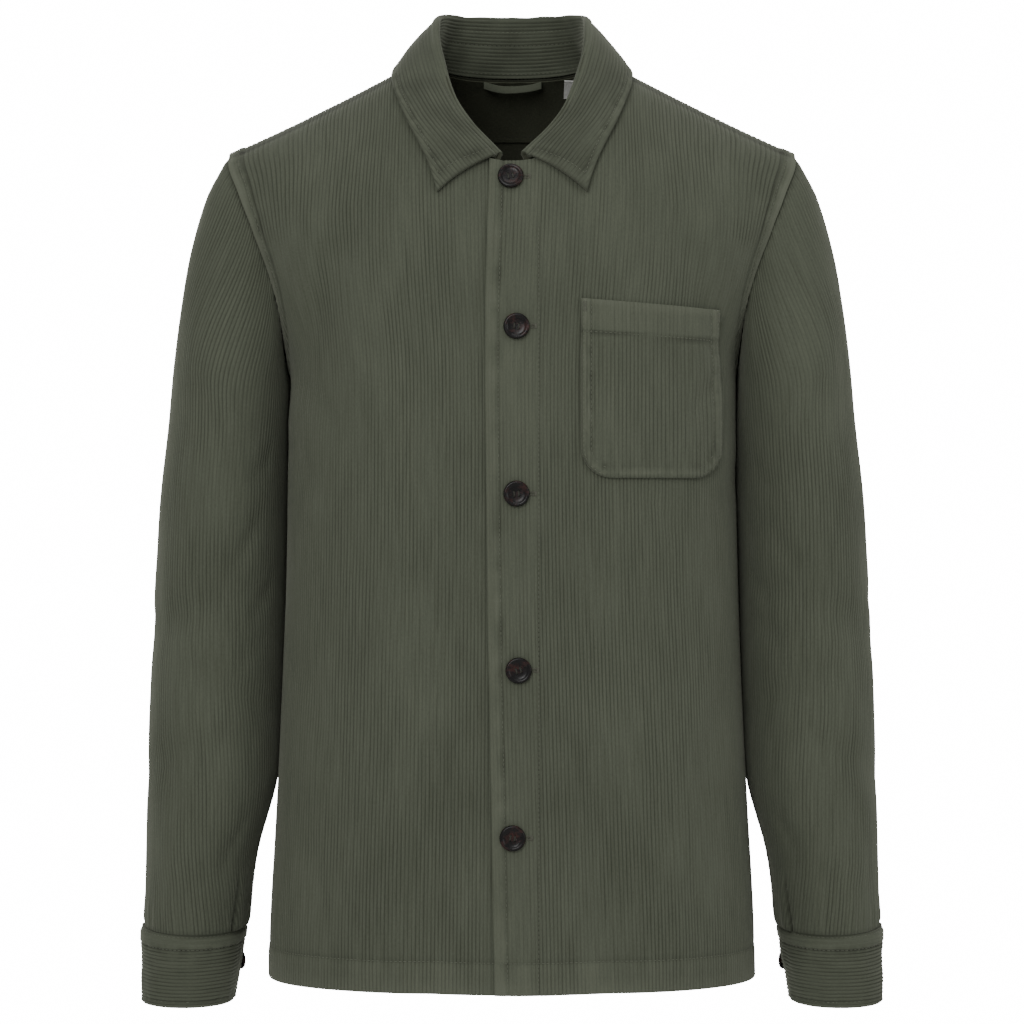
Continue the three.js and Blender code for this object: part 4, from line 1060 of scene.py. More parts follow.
# Short creases of each sleeve: from a distance round it and a level to another, bow, width, height.
# The distance is 1.2 for each degree from the outer line, positive to the front.
SLEEVE_CREASES = {
    1: [
        (146, -380, 95, -430, 4, 9, -2.4), (72, -262, 94, -292, 2, 8, -1.4),
        (182, -408, 150, -440, 3, 7, -2), (176, -452, 138, -474, -3, 8, -1.8),
        (122, -520, 90, -566, 4, 9, -1.6), (58, -596, 84, -640, 3, 9, -1.3),
        (168, -330, 136, -352, 2, 7, -1.6), (170, -590, 140, -640, 3, 8, -1.8),
        (100, -640, 118, -678, 2, 6, -1.3), (-176, -376, -118, -424, 4, 9, -2.2),
        (-188, -446, -130, -478, -3, 8, -2), (-104, -500, -70, -562, 3, 9, 1.3),
        (-150, -586, -116, -642, 3, 8, -1.6), (-48, -300, -82, -352, 2, 8, -1.3),
        (24, -420, -22, -462, 3, 9, -1.3),
    ],
    -1: [
        (161, -364, 104, -430, 5, 9, -2.6), (68, -262, 92, -290, 2, 8, -1.3),
        (180, -418, 146, -452, 3, 7, -2.1), (172, -470, 132, -486, -2, 8, -1.6),
        (128, -534, 94, -572, 3, 9, -1.5), (50, -560, 78, -612, 3, 9, -1.4),
        (172, -316, 140, -344, 3, 7, -1.8), (166, -604, 134, -650, 3, 8, -1.9),
        (92, -652, 112, -684, 2, 6, -1.2), (-170, -360, -122, -412, 4, 9, -2),
        (-184, -430, -134, -470, -3, 8, -2.2), (-96, -518, -66, -574, 3, 9, 1.2),
        (-144, -600, -112, -650, 3, 8, -1.5), (-56, -284, -88, -340, 2, 8, -1.2),
        (20, -440, -26, -474, 3, 9, -1.4),
    ],
}
VENT_ANGLE = 139
VENT_TOP = -650
SEAM_ROW = 7
SLEEVE_DEGREE = 1.2


def sleeve_relief(column, level, side):
    start_z = sleeve_starts(column)[0][:, 2]
    angle, total = sleeve_angle(column, level)
    around = np.degrees(angle)
    faded = smooth((start_z - level) / 60)
    height = np.zeros_like(level)
    for at, middle, lean, width, reach, tall in SLEEVE_FOLDS:
        off = around - at
        height += tall * bell((level - middle - lean * off) / width) * bell(off / reach)
    seam = 1 - smooth((np.abs(column) - total + 30) / 30)
    height *= faded * seam
    height += creases(SLEEVE_CREASES[side], around * SLEEVE_DEGREE, level) * faded * seam
    strength = wale_strength(around * 1.08, level, 11 + side)
    if side < 0:
        height += 2.1 * bell((level + 273) / 17) * smooth((np.abs(around) - 135) / 30)
    from_top = start_z - level
    height -= 0.8 * (1 - smooth(from_top / 2))
    # Painted shade along the sleeve's top, where it meets the armhole seam.
    wear_and_shade = -0.35 * bell(from_top / 2.2)
    eased = noise(column / 5, from_top / 30, 71) - 0.5
    height += eased * bell((from_top - 5) / 9) * (np.abs(column) < 150)
    from_seam = total - np.abs(column)
    low = (level < UNDERARM + 4) & (column > 0)
    felled = 0.6 * smooth((8 - from_seam) / 1.4) - 0.4 * bell((from_seam - SEAM_ROW) / 0.9)
    height += np.where(low, felled, 0)
    from_cuff = level - SLEEVE[0][0]
    pleats = noise(around / 6, level * 0, 17) * 0.7 + noise(around / 2.4, level * 0, 18) * 0.3
    height += ((pleats - 0.5) * 3.2 * bell(from_cuff / 24) * smooth(from_cuff / 6)
               - 0.5 * bell(from_cuff / 1.8))
    # Painted shade at the sleeve's lower end, where it meets the cuff.
    wear_and_shade -= 0.3 * bell(from_cuff / 2.5)
    from_vent = around - (VENT_ANGLE + (level - SLEEVE[0][0]) * 0.1)
    vent = bell(from_vent / 1.2) * smooth((VENT_TOP - level) / 12)
    tuck = smooth(from_vent / 3 + 0.5) * bell(from_vent / 18) * smooth((VENT_TOP + 8 - level) / 30)
    height += tuck * 1.6 - vent * 2.4
    # Painted shade in the vent's slit.
    wear_and_shade -= vent * 0.9
    return height, wear_and_shade, strength * (1 - 0.5 * vent)


def sleeve(name, side):
    half = wale_columns(0, sleeve_width, 1 / PITCH, [0, sleeve_width], WALE_FLANKS)
    columns = np.concatenate([-half[:0:-1], half])
    bottom = float(SLEEVE[0][0])
    rows = [bottom, bottom + 1.2, bottom + 4, bottom + 9, bottom + 16]
    for to, count in ((FINE_LEVELS[0], 46), (SLEEVE[-1][0] + 3, 25)):
        rows += list(np.linspace(rows[-1], to, count)[1:])
    ends = {}

    def end(c):
        if c.tobytes() not in ends:
            ends[c.tobytes()] = sleeve_end(c)
        return ends[c.tobytes()]

    layer = grid(columns, np.array(rows), lambda c, toward: end(c),
                 lambda c, toward: np.maximum(sleeve_starts(c)[0][:, 2], end(c)), sleeve_points, True)
    patch = Patch(sleeve_points, lambda c, level, points: sleeve_relief(c, level, side), -1,
                  COLUMN_STEP_MM)
    return cover(name, layer, patch, layer[0] / PITCH, layer[1], mirror=side < 0)


# Cuffs
CUFF_END = CUFF_START + CUFF_TURN


def cuff_points(around, level, lift):
    """Points of the cuff at angles round it, which go on past a full turn where it laps over itself."""
    t = (level - CUFF_LEVELS[0]) / (CUFF_LEVELS[1] - CUFF_LEVELS[0])
    lap = (around - (CUFF_END - CUFF_LAP)) / 12
    proud = lift + (CUFF_CLOTH + GAP) * smooth(lap)
    angle = np.radians(around)
    x = lerp(*CUFF_MIDDLE_X, t) + (lerp(*CUFF_HALF, t) + proud) * np.cos(angle)
    y = CUFF_MIDDLE_Y - (lerp(*CUFF_DEPTH, t) + proud) * np.sin(angle)
    drop = CUFF_DROP * np.clip(np.sin(angle), 0, 1) * lerp(0.35, 1, t)
    return np.stack([x, y, level - drop], -1)


CUFF_BAND = 12.5
CUFF_ROWS = (CUFF_BAND, 2)
CUFF_HEM_ROW = 5


def cuff_relief(around, level, side):
    from_low, from_high = level - CUFF_LEVELS[0], CUFF_LEVELS[1] - level
    wave = noise(around / 15, level / 18, 21 + side) - 0.5
    height = wave * 1.5 * smooth(from_low / 8) * smooth((from_high - CUFF_BAND) / 6)
    height -= 0.7 * (1 - smooth(from_low / 1.5)) + 1.5 * (1 - smooth(from_high / 5))
    height += 0.8 * smooth((CUFF_BAND + 0.8 - from_high) / 2.4)
    for row in CUFF_ROWS:
        height -= 0.5 * bell((from_high - row) / 1.1)
    height -= 0.5 * bell((from_low - CUFF_HEM_ROW) / 1.1)
    puckers = noise(around / 3.4, level * 0, 29 + side) - 0.5
    height += puckers * 0.9 * (bell((from_high - CUFF_BAND) / 4) + bell((from_low - CUFF_HEM_ROW) / 4))
    ends = np.minimum(around - CUFF_START, CUFF_END - around) * 0.72
    height -= 0.7 * (1 - smooth(ends / 1.4)) + 0.4 * bell((ends - 5) / 1)
    band = smooth((CUFF_BAND - from_high) / 1.5)
    # Lighter worn pile at the bottom edge and over the band; painted shade at the band's stitch row;
    # the whole cuff a little darker.
    wear_and_shade = (0.15 * bell((from_low - 1) / 2) + 0.12 * band
            - 0.45 * bell((from_high - CUFF_BAND) / 1.2) - 0.1)
    # Painted highlight and painted shade on the band's puckers, following their height; painted shade
    # along the top edge.
    wear_and_shade += puckers * 0.4 * bell((from_high - CUFF_BAND) / 4) - 0.3 * bell(from_high / 1.6)
    # Painted shade at the hem's stitch row.
    wear_and_shade -= 0.3 * bell((from_low - CUFF_HEM_ROW) / 1)
    strength = 1.25 * wale_strength(around * 0.7, level, 25 + side)
    strength *= (1 - 0.85 * band) * (0.65 + 0.5 * np.abs(np.cos(np.radians(around))))
    return height, wear_and_shade, strength


def cuff(name, side):
    low, high = CUFF_LEVELS
    rows = wale_columns(low, high, 1 / PITCH, [low, low + 0.9, high - 0.9, high])
    columns = np.append(np.linspace(CUFF_START, CUFF_END, 121), [CUFF_START + 0.8, CUFF_END - 0.8])
    patch = Patch(lambda c, r: cuff_points(c, r, 0),
                  lambda c, r, points: cuff_relief(c, r, side), -1, COLUMN_STEP_MM)
    layer = grid(np.unique(columns), rows, level_edge(low), level_edge(high), patch.place, True)
    return cover(name, layer, patch, layer[1] / PITCH, layer[0] * 0.75, CUFF_CLOTH, side < 0)


# Collar
def neck_line():
    """Places of the neck seam from the centre back to the front end, with the lengths along it."""
    end = COLLAR_END_X / float(section_length(FRONT, rise_at(FRONT, -NECK_DEPTH))[0])
    back = neck_part * np.sin(np.linspace(0, math.pi / 2, 61)) ** (2 / NECK_SHAPE)
    front = neck_part * np.cos(np.linspace(0, math.pi / 2, 161)[1:]) ** (2 / NECK_SHAPE)
    front = np.append(front[front > end], end)
    side = np.concatenate([np.full(len(back), BACK), np.full(len(front), FRONT)])
    part = np.concatenate([back, front])
    rises = [rise_at(which, neck_level(which, part)) for which in (FRONT, BACK)]
    rise = np.where(side == BACK, rises[BACK], rises[FRONT])
    points = torso(side, part, rise)
    lengths = lengths_along(points)
    return side, part, rise, lengths / lengths[-1], points


neck_side, neck_parts, neck_rises, neck_lengths, neck_points = neck_line()


def neck_point(at):
    """Points of the neck seam at shares, 0 to 1, of its length from the centre back."""
    return np.stack([np.interp(at, neck_lengths, neck_points[:, axis]) for axis in range(3)], -1)


def top_surface(x, y):
    """Height of the torso's upper side, found by steps towards the level that has the point on it."""
    side = np.where(y < CENTRE_Y, FRONT, BACK)
    level = np.full(np.shape(x), -20.0)
    for _ in range(12):
        across = super_quarter(np.abs(x) / lookup(BODY, level), SQUARENESS)
        cosine = np.clip(np.abs(y - CENTRE_Y) / np.maximum(DEPTH[side] * across, 1e-6), 0, 0.98)
        level = lerp(level, DOME[side] * (np.sqrt(1 - cosine * cosine) - 1), 0.7)
    return height_at(x, level)


def clear_of_torso(points, clearance):
    """The points, with those that are too near the torso's upper side moved away from it."""
    step = 1.5
    x, y = points[..., 0], points[..., 1]
    slope_x = (top_surface(x + step, y) - top_surface(x - step, y)) / (2 * step)
    slope_y = (top_surface(x, y + step) - top_surface(x, y - step)) / (2 * step)
    normal = unit(np.stack([-slope_x, -slope_y, np.ones_like(x)], -1))
    away = (points[..., 2] - top_surface(x, y)) * normal[..., 2]
    return points + normal * np.maximum(clearance - away, 0)[..., None]


STAND_STEPS = 8
BEND_STEPS = 8
# Length of the leaf's edge for each millimetre of the neck seam
LEAF_STRETCH = 1.2


def collar_sections(places):
    """Middle line of the collar's cloth at each place, with its length measured from the fold."""
    at = np.abs(places)
    value = [lookup(COLLAR, at, column) for column in range(1, 6)]
    base = neck_point(at)
    index = np.clip(np.searchsorted(neck_lengths, at), 1, len(neck_lengths) - 1)
    side = neck_side[index]
    part = np.interp(at, neck_lengths, neck_parts)
    rise = np.where(side == BACK, np.minimum(neck_rises[index], RIDGE[BACK] - 3), neck_rises[index])
    rise = np.where(side == FRONT, np.minimum(rise, RIDGE[FRONT] - 3), rise)
    padded = np.pad(torso_normal(side, part, rise), ((3, 3), (0, 0)), "edge")
    normal = unit(np.stack([np.convolve(padded[:, k], np.ones(7) / 7, "valid") for k in range(3)], 1))
    along = neck_point(np.minimum(at + 0.01, 1)) - neck_point(np.maximum(at - 0.01, 0))
    inward = unit(np.cross(along, normal))
    flip = inward[:, 0] * base[:, 0] + inward[:, 1] * base[:, 1] > 0
    inward[flip] *= -1
    sunk = CLOTH * (0.6 + 1.3 * smooth((at - 0.24) / 0.1))[:, None]
    base = base + inward * (GAP + COLLAR_CLOTH / 2 + 0.6) - normal * sunk
    fold = np.stack(value[:3], -1)
    edge = np.stack([value[3], value[4], top_surface(value[3], value[4])], -1)
    edge = clear_of_torso(edge, LEAF_CLEAR)
    up = unit(fold - base)
    out = edge - fold
    out = unit(out - up * np.sum(out * up, -1, keepdims=True))
    bend = np.minimum(COLLAR_BEND, np.linalg.norm(fold - base, axis=1) * 0.4)[:, None]
    stand_top = fold - up * bend - out * bend
    leaf_top = fold - up * bend + out * bend
    lines = [lerp(base, stand_top, t) for t in np.linspace(0, 1, STAND_STEPS + 1)[:-1]]
    centre = fold - up * bend
    for angle in np.linspace(0, math.pi, BEND_STEPS + 1):
        lines.append(centre - out * bend * math.cos(angle) + up * bend * math.sin(angle))
    for t in np.linspace(0, 1, 21)[1:]:
        crown = LEAF_CROWN * 4 * t * (1 - t)
        point = lerp(leaf_top, edge, t) + out * crown * 0.5
        point[:, 2] += crown * 0.6
        lines.append(clear_of_torso(point, lerp(LEAF_CLEAR + 2, LEAF_CLEAR, t)))
    lines = np.stack(lines, 1)
    lines[:, :, 0] *= np.where(places < 0, -1, 1)[:, None]
    lengths = running(np.linalg.norm(np.diff(lines, axis=1), axis=2))
    fold_index = STAND_STEPS + BEND_STEPS // 2
    return lines, lengths - lengths[:, fold_index:fold_index + 1]


# Stitch rows: one near the leaf's edge, and two across the middle of the stand, measured from the fold
COLLAR_ROW = 5.5
STAND_ROWS = (-24, -13)
STAND_ROWS_END = 0.37


def collar():
    neck_length = float(np.sum(np.linalg.norm(np.diff(neck_points, axis=0), axis=1)))
    ends = 1 - np.array([0.004, COLLAR_ROW / (neck_length * LEAF_STRETCH)])
    places = np.unique(np.concatenate([np.linspace(-1, 1, 141), ends, -ends]))
    lines, lengths = collar_sections(places)
    tops, bottoms = lengths[:, -1], lengths[:, 0]
    low, high = float(bottoms.min()), float(tops.max())
    rows = wale_columns(low, high, 1 / PITCH, [low, high])

    def index_of(c):
        return np.clip(np.searchsorted(places, c - 1e-9), 0, len(places) - 1)

    def place(c, r):
        which = index_of(c)
        cell = np.array([np.searchsorted(lengths[w], d) for w, d in zip(which, r)])
        cell = cell.clip(1, lengths.shape[1] - 1)
        before, after = lengths[which, cell - 1], lengths[which, cell]
        t = np.clip((r - before) / (after - before), 0, 1)[:, None]
        return lerp(lines[which, cell - 1], lines[which, cell], t)

    def relief(c, r, points):
        from_edge = tops[index_of(c)] - r
        from_end = (1 - np.abs(c)) * neck_length * LEAF_STRETCH
        near = np.minimum(from_edge, np.where(r > 0, from_end, FAR))
        height = 0.35 * smooth((7 - near) / 1.5) - 0.55 * bell((near - COLLAR_ROW) / 1.2)
        height -= 0.5 * (1 - smooth(near / 1.2))
        puckers = noise(c * 70, r / 7, 31) - 0.5
        height += puckers * 1.1 * bell((near - 4) / 5)
        height += (noise(c * 14, r / 26, 33) - 0.5) * 1.6 * smooth(near / 20)
        # Lighter worn pile near the leaf's edge and along the fold; painted shade at the stitch row.
        wear_and_shade = 0.22 * bell((near - 2.5) / 2.8) + 0.25 * bell((r - 1) / 4)
        wear_and_shade -= 0.3 * bell((near - COLLAR_ROW) / 1.1)
        # Painted highlight and painted shade on the puckers, following their height; painted shade
        # right at the edge; the whole collar a little darker.
        wear_and_shade += puckers * 0.55 * bell((near - 5) / 5) - 0.4 * bell(near / 1.2) - 0.15
        wear_and_shade += (noise(c * 22, r / 14, 37) - 0.5) * 0.3
        for row in STAND_ROWS:
            height -= 0.3 * bell(r - row) * (np.abs(c) < STAND_ROWS_END)
        strength = wale_strength(c * 130, r, 35) * (1 - 0.5 * bell(near / 5)) + 0.3 * smooth(-r / 6)
        return height + COLLAR_CLOTH / 2, wear_and_shade, strength

    layer = grid(places, rows, lambda c, toward: bottoms[index_of(c)],
                 lambda c, toward: tops[index_of(c)], place, False)
    patch = Patch(place, relief, 1)
    patch.tops, patch.bottoms, patch.places, patch.length = tops, bottoms, places, neck_length
    return cover("collar_cloth", layer, patch, layer[1] / PITCH, layer[0] * neck_length, COLLAR_CLOTH)


# Pocket
def over_front(x, level, lift):
    """Points over the top front at an x and a level, lifted from its outer face."""
    x, level, lift = np.broadcast_arrays(*(np.asarray(value, float) for value in (x, level, lift)))
    rise = rise_at(FRONT, level)
    part = part_at_x(x, rise)
    points = torso(FRONT, part, rise)
    height = body_folds(FRONT, x, level) + creases(FRONT_CREASES, x, level)
    return points + torso_normal(FRONT, part, rise) * (lift + height + lap_lift(x))[..., None]


POCKET_HEM_ROW = 25
POCKET_ROWS = (1.8, 7.5)


def pocket():
    left, right, corner = POCKET["left"], POCKET["right"], POCKET["corner"]
    columns = wale_columns(left, right, 1 / PITCH, [left, left + 0.9, right - 0.9, right])
    high, low = POCKET["top"], POCKET["bottom"]
    rows = [low, low + 0.9] + list(np.linspace(low + 4, high - 30, 22))
    rows += [high - down for down in (26.3, POCKET_HEM_ROW, 23.7, 18, 12, 6, 2, 0.9, 0)]

    def bottom(c, toward):
        side = np.minimum(c - left, right - c)
        return low + corner * (1 - super_quarter(1 - side / corner, 2))

    def top(c, toward):
        return high - POCKET["outer_drop"] * (c - left) / (right - left)

    def relief(c, r, points):
        from_top = top(c, 0) - r
        across = np.minimum(c - left, right - c)
        turn = np.hypot(np.clip(corner - across, 0, corner), np.clip(corner - (r - low), 0, corner))
        rounded = (r < low + corner) & (across < corner)
        near = np.where(rounded, corner - turn, np.minimum(across, r - low))
        from_hem_row = from_top - POCKET_HEM_ROW
        height = 0.5 * smooth((POCKET_HEM_ROW + 1 - from_top) / 1.2) - 0.6 * bell(from_hem_row / 1.3)
        height += 0.3 * smooth((8.5 - near) / 1.5) - 0.5 * bell(near - POCKET_ROWS[1])
        height -= 0.4 * bell((near - POCKET_ROWS[0]) / 0.8)
        height -= 0.5 * (1 - smooth(near / 1.1)) + 0.5 * (1 - smooth(from_top / 1.1))
        puckers = noise((c + r) / 3.6, (c - r) / 3.6, 45) - 0.5
        height += puckers * 0.9 * bell((near - 6) / 3.5)
        height += (noise(c / 26, r / 34, 41) - 0.5) * 2.2 * smooth(near / 20)
        # Lighter worn pile along the top and near the edges; painted shade right at the edges.
        wear_and_shade = 0.3 * bell((from_top - 1.5) / 2.5) + 0.3 * bell((near - 3.5) / 2.6) - 0.45 * bell(near)
        # Painted highlight and painted shade on the puckers, following their height.
        wear_and_shade += puckers * 0.6 * bell((near - 5.5) / 4)
        # Lighter worn pile on the top band; painted shade at the top band's stitch row and at the inner
        # stitch row.
        wear_and_shade += 0.2 * smooth(-from_hem_row / 3) - 0.5 * bell(from_hem_row / 1.2)
        wear_and_shade -= 0.3 * bell(near - POCKET_ROWS[1])
        strength = wale_strength(c, r, 43) * (1 - 0.35 * smooth((POCKET_HEM_ROW + 1 - from_top) / 3))
        return height, wear_and_shade, strength

    def place(c, r):
        return over_front(c, r, POCKET["rise"] + CLOTH)

    layer = grid(columns, np.array(rows), bottom, top, place, False)
    patch = Patch(place, relief, 1, COLUMN_STEP_MM)
    return cover("pocket_cloth", layer, patch, layer[0] / PITCH, layer[1])


# Neck facing, hanger loop and label
LOOP = {"start": -23, "end": 24, "width": 6, "cloth": 1.4, "top": -17.5, "sag": 4.5, "bow": 3}
LABEL = {"left": 42, "right": 55, "top": -12, "bottom": -25, "cloth": 0.6}
LABEL_CLEAR = 0.9
FACING_TOP = -2.5
NECK_WIDTH = BODY[-1][1]


def neck_facing():
    columns = np.linspace(-FACING_REACH + 0.01, FACING_REACH - 0.01, 91)
    reach = columns[-1]
    low, high = float(rise_at(BACK, -FACING_DEPTH)), float(rise_at(BACK, FACING_TOP))
    rows = np.concatenate([[low, low + 0.8], np.linspace(low + 3, high, 40)])

    def bottom(c, toward=0):
        return rise_at(BACK, -FACING_DEPTH * (1 - 0.5 * (c / reach) ** 4))

    def top(c, toward=0):
        return np.minimum(rise_at(BACK, neck_level(BACK, c)), high)

    def place(c, r):
        lift = -CLOTH - FACING_CLEAR - FACING_CLOTH
        return torso(BACK, c, r) + torso_normal(BACK, c, r) * lift

    def relief(c, r, points):
        near = np.minimum(r - bottom(c), (reach - np.abs(c)) * NECK_WIDTH)
        height = 0.35 * smooth((6 - near) / 1.2) - 0.35 * bell((near - FACING_ROW) / 0.9)
        height += (noise(c * 40, r / 16, 81) - 0.5) * 0.7 * smooth((near - 6) / 8)
        return height, np.zeros_like(height), np.zeros_like(height)

    column, row, points, faces = grid(columns, rows, bottom, top, place, False)
    height, wear_and_shade, _ = relief(column, row, points)
    uv = np.stack([column * NECK_WIDTH, row], 1) / 1000
    lifts = (height, height * 0)
    obj = shell("neck_facing_cloth", points, faces, lifts, FACING_CLOTH, uv, {"worn_and_shaded": wear_and_shade})
    obj.data.materials.append(dark_lining)
    patches["neck_facing_cloth"] = Patch(place, relief, 1)
    patches["neck_facing_cloth"].bottom = bottom
    return obj


def tube_of(sections, name, material, values):
    """Closed skin over rings of points, with flat ends."""
    count, around = sections.shape[:2]
    index = np.arange(count * around).reshape(count, around)
    a, b = index[:-1], index[1:]
    a_next, b_next = np.roll(a, -1, 1), np.roll(b, -1, 1)
    quads = np.stack([a, b, b_next, a_next], -1).reshape(-1, 4)
    faces = np.concatenate([quads[:, [0, 1, 2]], quads[:, [0, 2, 3]]])
    fans = [[index[0, 0], index[0, k], index[0, k + 1]] for k in range(1, around - 1)]
    fans += [[index[-1, 0], index[-1, k + 1], index[-1, k]] for k in range(1, around - 1)]
    points = sections.reshape(-1, 3)
    uv = np.stack([np.tile(np.arange(around), count), np.repeat(np.arange(count), around)], 1)
    values = {key: np.full(len(points), value) for key, value in values.items()}
    obj = to_object(name, points, np.concatenate([faces, np.array(fans)]), uv / 1000, values)
    obj.data.materials.append(material)
    return obj


def hanger_loop():
    """A folded strip sewn in at both ends, bowing a little into the neck."""
    neck_rise = float(rise_at(BACK, -NECK_BACK_DROP))
    t = np.linspace(0, 1, 61)
    x = lerp(LOOP["start"], LOOP["end"], t)
    wall = torso(BACK, np.abs(x) / NECK_WIDTH, neck_rise)[:, 1] - COLLAR_CLOTH - GAP * 3
    swing = np.sin(math.pi * t) * (1 + 0.12 * np.sin(7 * t + 0.6))
    centre = np.stack([x, wall - LOOP["bow"] * swing - LOOP["cloth"] / 2,
                       LOOP["top"] - LOOP["width"] / 2 - LOOP["sag"] * swing], -1)
    around = np.linspace(0, 2 * math.pi, 21)[:-1]
    tall = np.sign(np.sin(around)) * np.abs(np.sin(around)) ** 0.6 * LOOP["width"] / 2
    deep = np.sign(np.cos(around)) * np.abs(np.cos(around)) ** 0.5 * LOOP["cloth"] / 2
    deep = deep * (1 - 0.3 * bell((np.abs(tall) - 1.9) / 0.5))
    twist = 0.12 * np.sin(5 * t + 1)[:, None]
    up = np.stack([0 * twist, -np.sin(twist), np.cos(twist)], -1)
    out = np.stack([0 * twist, np.cos(twist), np.sin(twist)], -1)
    sections = centre[:, None] + up * tall[None, :, None] + out * deep[None, :, None]
    return tube_of(sections, "hanger_loop_cloth", olive, {"pile": 0.7, "worn_and_shaded": 0.1, "inner": 0.0})


def neck_label():
    lift = -CLOTH - FACING_CLEAR - FACING_CLOTH - GAP - LABEL_CLEAR - LABEL["cloth"]
    low, high = float(rise_at(BACK, LABEL["bottom"])), float(rise_at(BACK, LABEL["top"]))
    left, right = LABEL["left"] / NECK_WIDTH, LABEL["right"] / NECK_WIDTH

    def place(c, r):
        return torso(BACK, c, r) + torso_normal(BACK, c, r) * lift

    column, row, points, faces = grid(np.linspace(left, right, 27), np.linspace(low, high, 27),
                                      level_edge(low), level_edge(high), place, False)
    near = np.minimum(column - left, right - column) * NECK_WIDTH
    near = np.minimum(near, np.minimum(row - low, high - row))
    height = 0.12 * bell((near - 0.6) / 0.5)
    height += 0.25 * (noise(column * 60, row / 5, 91) - 0.5) * smooth(near / 3)
    uv = np.stack([column * NECK_WIDTH, row], 1) / 1000
    values = {"worn_and_shaded": height * 0}
    obj = shell("neck_label_tape", points, faces, (height, height), LABEL["cloth"], uv, values)
    obj.data.materials.append(woven_tape)
    return obj


# Sewing
STITCH = 2.7
STITCH_GAP = 0.9
THREAD = 0.25
EDGE_CLEAR = 0.006


def rods(centres, directions, normals, length, radius=THREAD):
    """Small rods whose ends bend down into the cloth, one for each centre: points and triangles."""
    directions = unit(directions)
    sides = unit(np.cross(directions, normals))
    normals = np.cross(sides, directions)
    length = np.broadcast_to(np.asarray(length, float), (len(centres),))
    turns = (np.arange(5) * (2 * math.pi / 5))[None, :, None]
    ring = sides[:, None] * np.cos(turns) + normals[:, None] * np.sin(turns)
    rings = []
    for at, wide, sink in ((-0.5, 0.5, -1.5), (-0.3, 1, 0), (0.3, 1, 0), (0.5, 0.5, -1.5)):
        middle = centres + directions * (at * length)[:, None] + normals * sink * radius
        rings.append(middle[:, None] + ring * radius * wide)
    points = np.stack(rings, 1).reshape(-1, 3)
    one = []
    for k in range(3):
        for j in range(5):
            a, b, c, d = k * 5 + j, k * 5 + (j + 1) % 5, k * 5 + 5 + j, k * 5 + 5 + (j + 1) % 5
            one += [(a, c, b), (b, c, d)]
    one += [(0, j, j + 1) for j in (1, 2, 3)] + [(15, 16 + j, 15 + j) for j in (1, 2, 3)]
    faces = (np.array(one)[None] + np.arange(len(centres))[:, None, None] * 20).reshape(-1, 3)
    return points, faces


def sewn_row(points, normals):
    """A row of stitches along a line over a face."""
    lengths = lengths_along(points)
    count = max(int(lengths[-1] / (STITCH + STITCH_GAP)), 1)
    middles = (np.arange(count) + 0.5) * lengths[-1] / count

    def along(values, at):
        return np.stack([np.interp(at, lengths, values[:, k]) for k in range(3)], -1)

    ahead = along(points, middles + STITCH * 0.4) - along(points, middles - STITCH * 0.4)
    return rods(along(points, middles), ahead, unit(along(normals, middles)), STITCH)


def joined(parts):
    """Several sets of points and triangles as one."""
    points, faces, start = [], [], 0
    for some, triangles in parts:
        points.append(some)
        faces.append(triangles + start)
        start += len(some)
    return np.concatenate(points), np.concatenate(faces)


def sewing(name, parts, material, mirror=False):
    points, faces = joined(parts)
    if mirror:
        points, faces = mirrored(points, faces)
    obj = to_object(name, points, faces)
    obj.data.materials.append(material)
    return obj


def armhole_row(side, inset, last):
    """Parts and rises of a line that runs beside the armhole, from the shoulder to the underarm."""
    parts, rises, _, _ = armholes[side]
    parts, rises = parts[::-1], rises[::-1]
    parts = np.append(parts, parts[-1])
    rises = np.append(rises, last)
    if last < RIDGE[side]:
        parts, rises = parts[rises <= last], rises[rises <= last]
    length = section_length(side, np.minimum(rises, RIDGE[side]))
    across = np.gradient(parts * length)
    up = np.gradient(rises)
    size = np.hypot(across, up)
    return (parts * length - inset * up / size) / length, rises - inset * -across / size


def armhole_stitches(name, side, sign, last):
    c, r = armhole_row(side, ARMHOLE_ROW, last)
    keep = c < side_edge - EDGE_CLEAR
    return patches[name].row(sign * c[keep], r[keep])


def body_sewing():
    seam = RIDGE[FRONT] - SEAM_FORWARD
    parts = []
    for name, on_top in (("front_left_cloth", True), ("front_right_cloth", False)):
        patch = patches[name]
        parts.append(armhole_stitches(name, FRONT, 1, seam - 1.5))
        c = np.linspace(-patch.edge + 0.014, side_edge - EDGE_CLEAR, 260)
        parts.append(patch.row(c, hem_rise[FRONT] + HEM_ROW))
        c = np.linspace(neck_part + 0.03, arm_edge - EDGE_CLEAR, 90)
        parts.append(patch.row(c, seam - SHOULDER_ROW))
        if on_top:
            r = np.linspace(hem_rise[FRONT] + 3, float(rise_at(FRONT, EDGE_ROW_TOP)), 240)
            parts.append(patch.row(-patch.edge + EDGE_ROW / QUARTER, r))
            r = np.linspace(hem_rise[FRONT] + 3, float(rise_at(FRONT, FACING_ROW_TOP)), 240)
            parts.append(patch.row(part_at_x(FACING_X, r) + edge_shift(r, patch.table), r))
    patch = patches["back_cloth"]
    seam = RIDGE[BACK] + SEAM_FORWARD
    for sign in (-1, 1):
        parts.append(armhole_stitches("back_cloth", BACK, sign, seam - 1.5))
        c = sign * np.linspace(neck_part + 0.02, arm_edge - EDGE_CLEAR, 90)
        parts.append(patch.row(c, seam - GAP - BACK_SHOULDER_ROW))
    c = np.linspace(-side_edge + EDGE_CLEAR, side_edge - EDGE_CLEAR, 400)
    return parts + [patch.row(c, hem_rise[BACK] + HEM_ROW)]


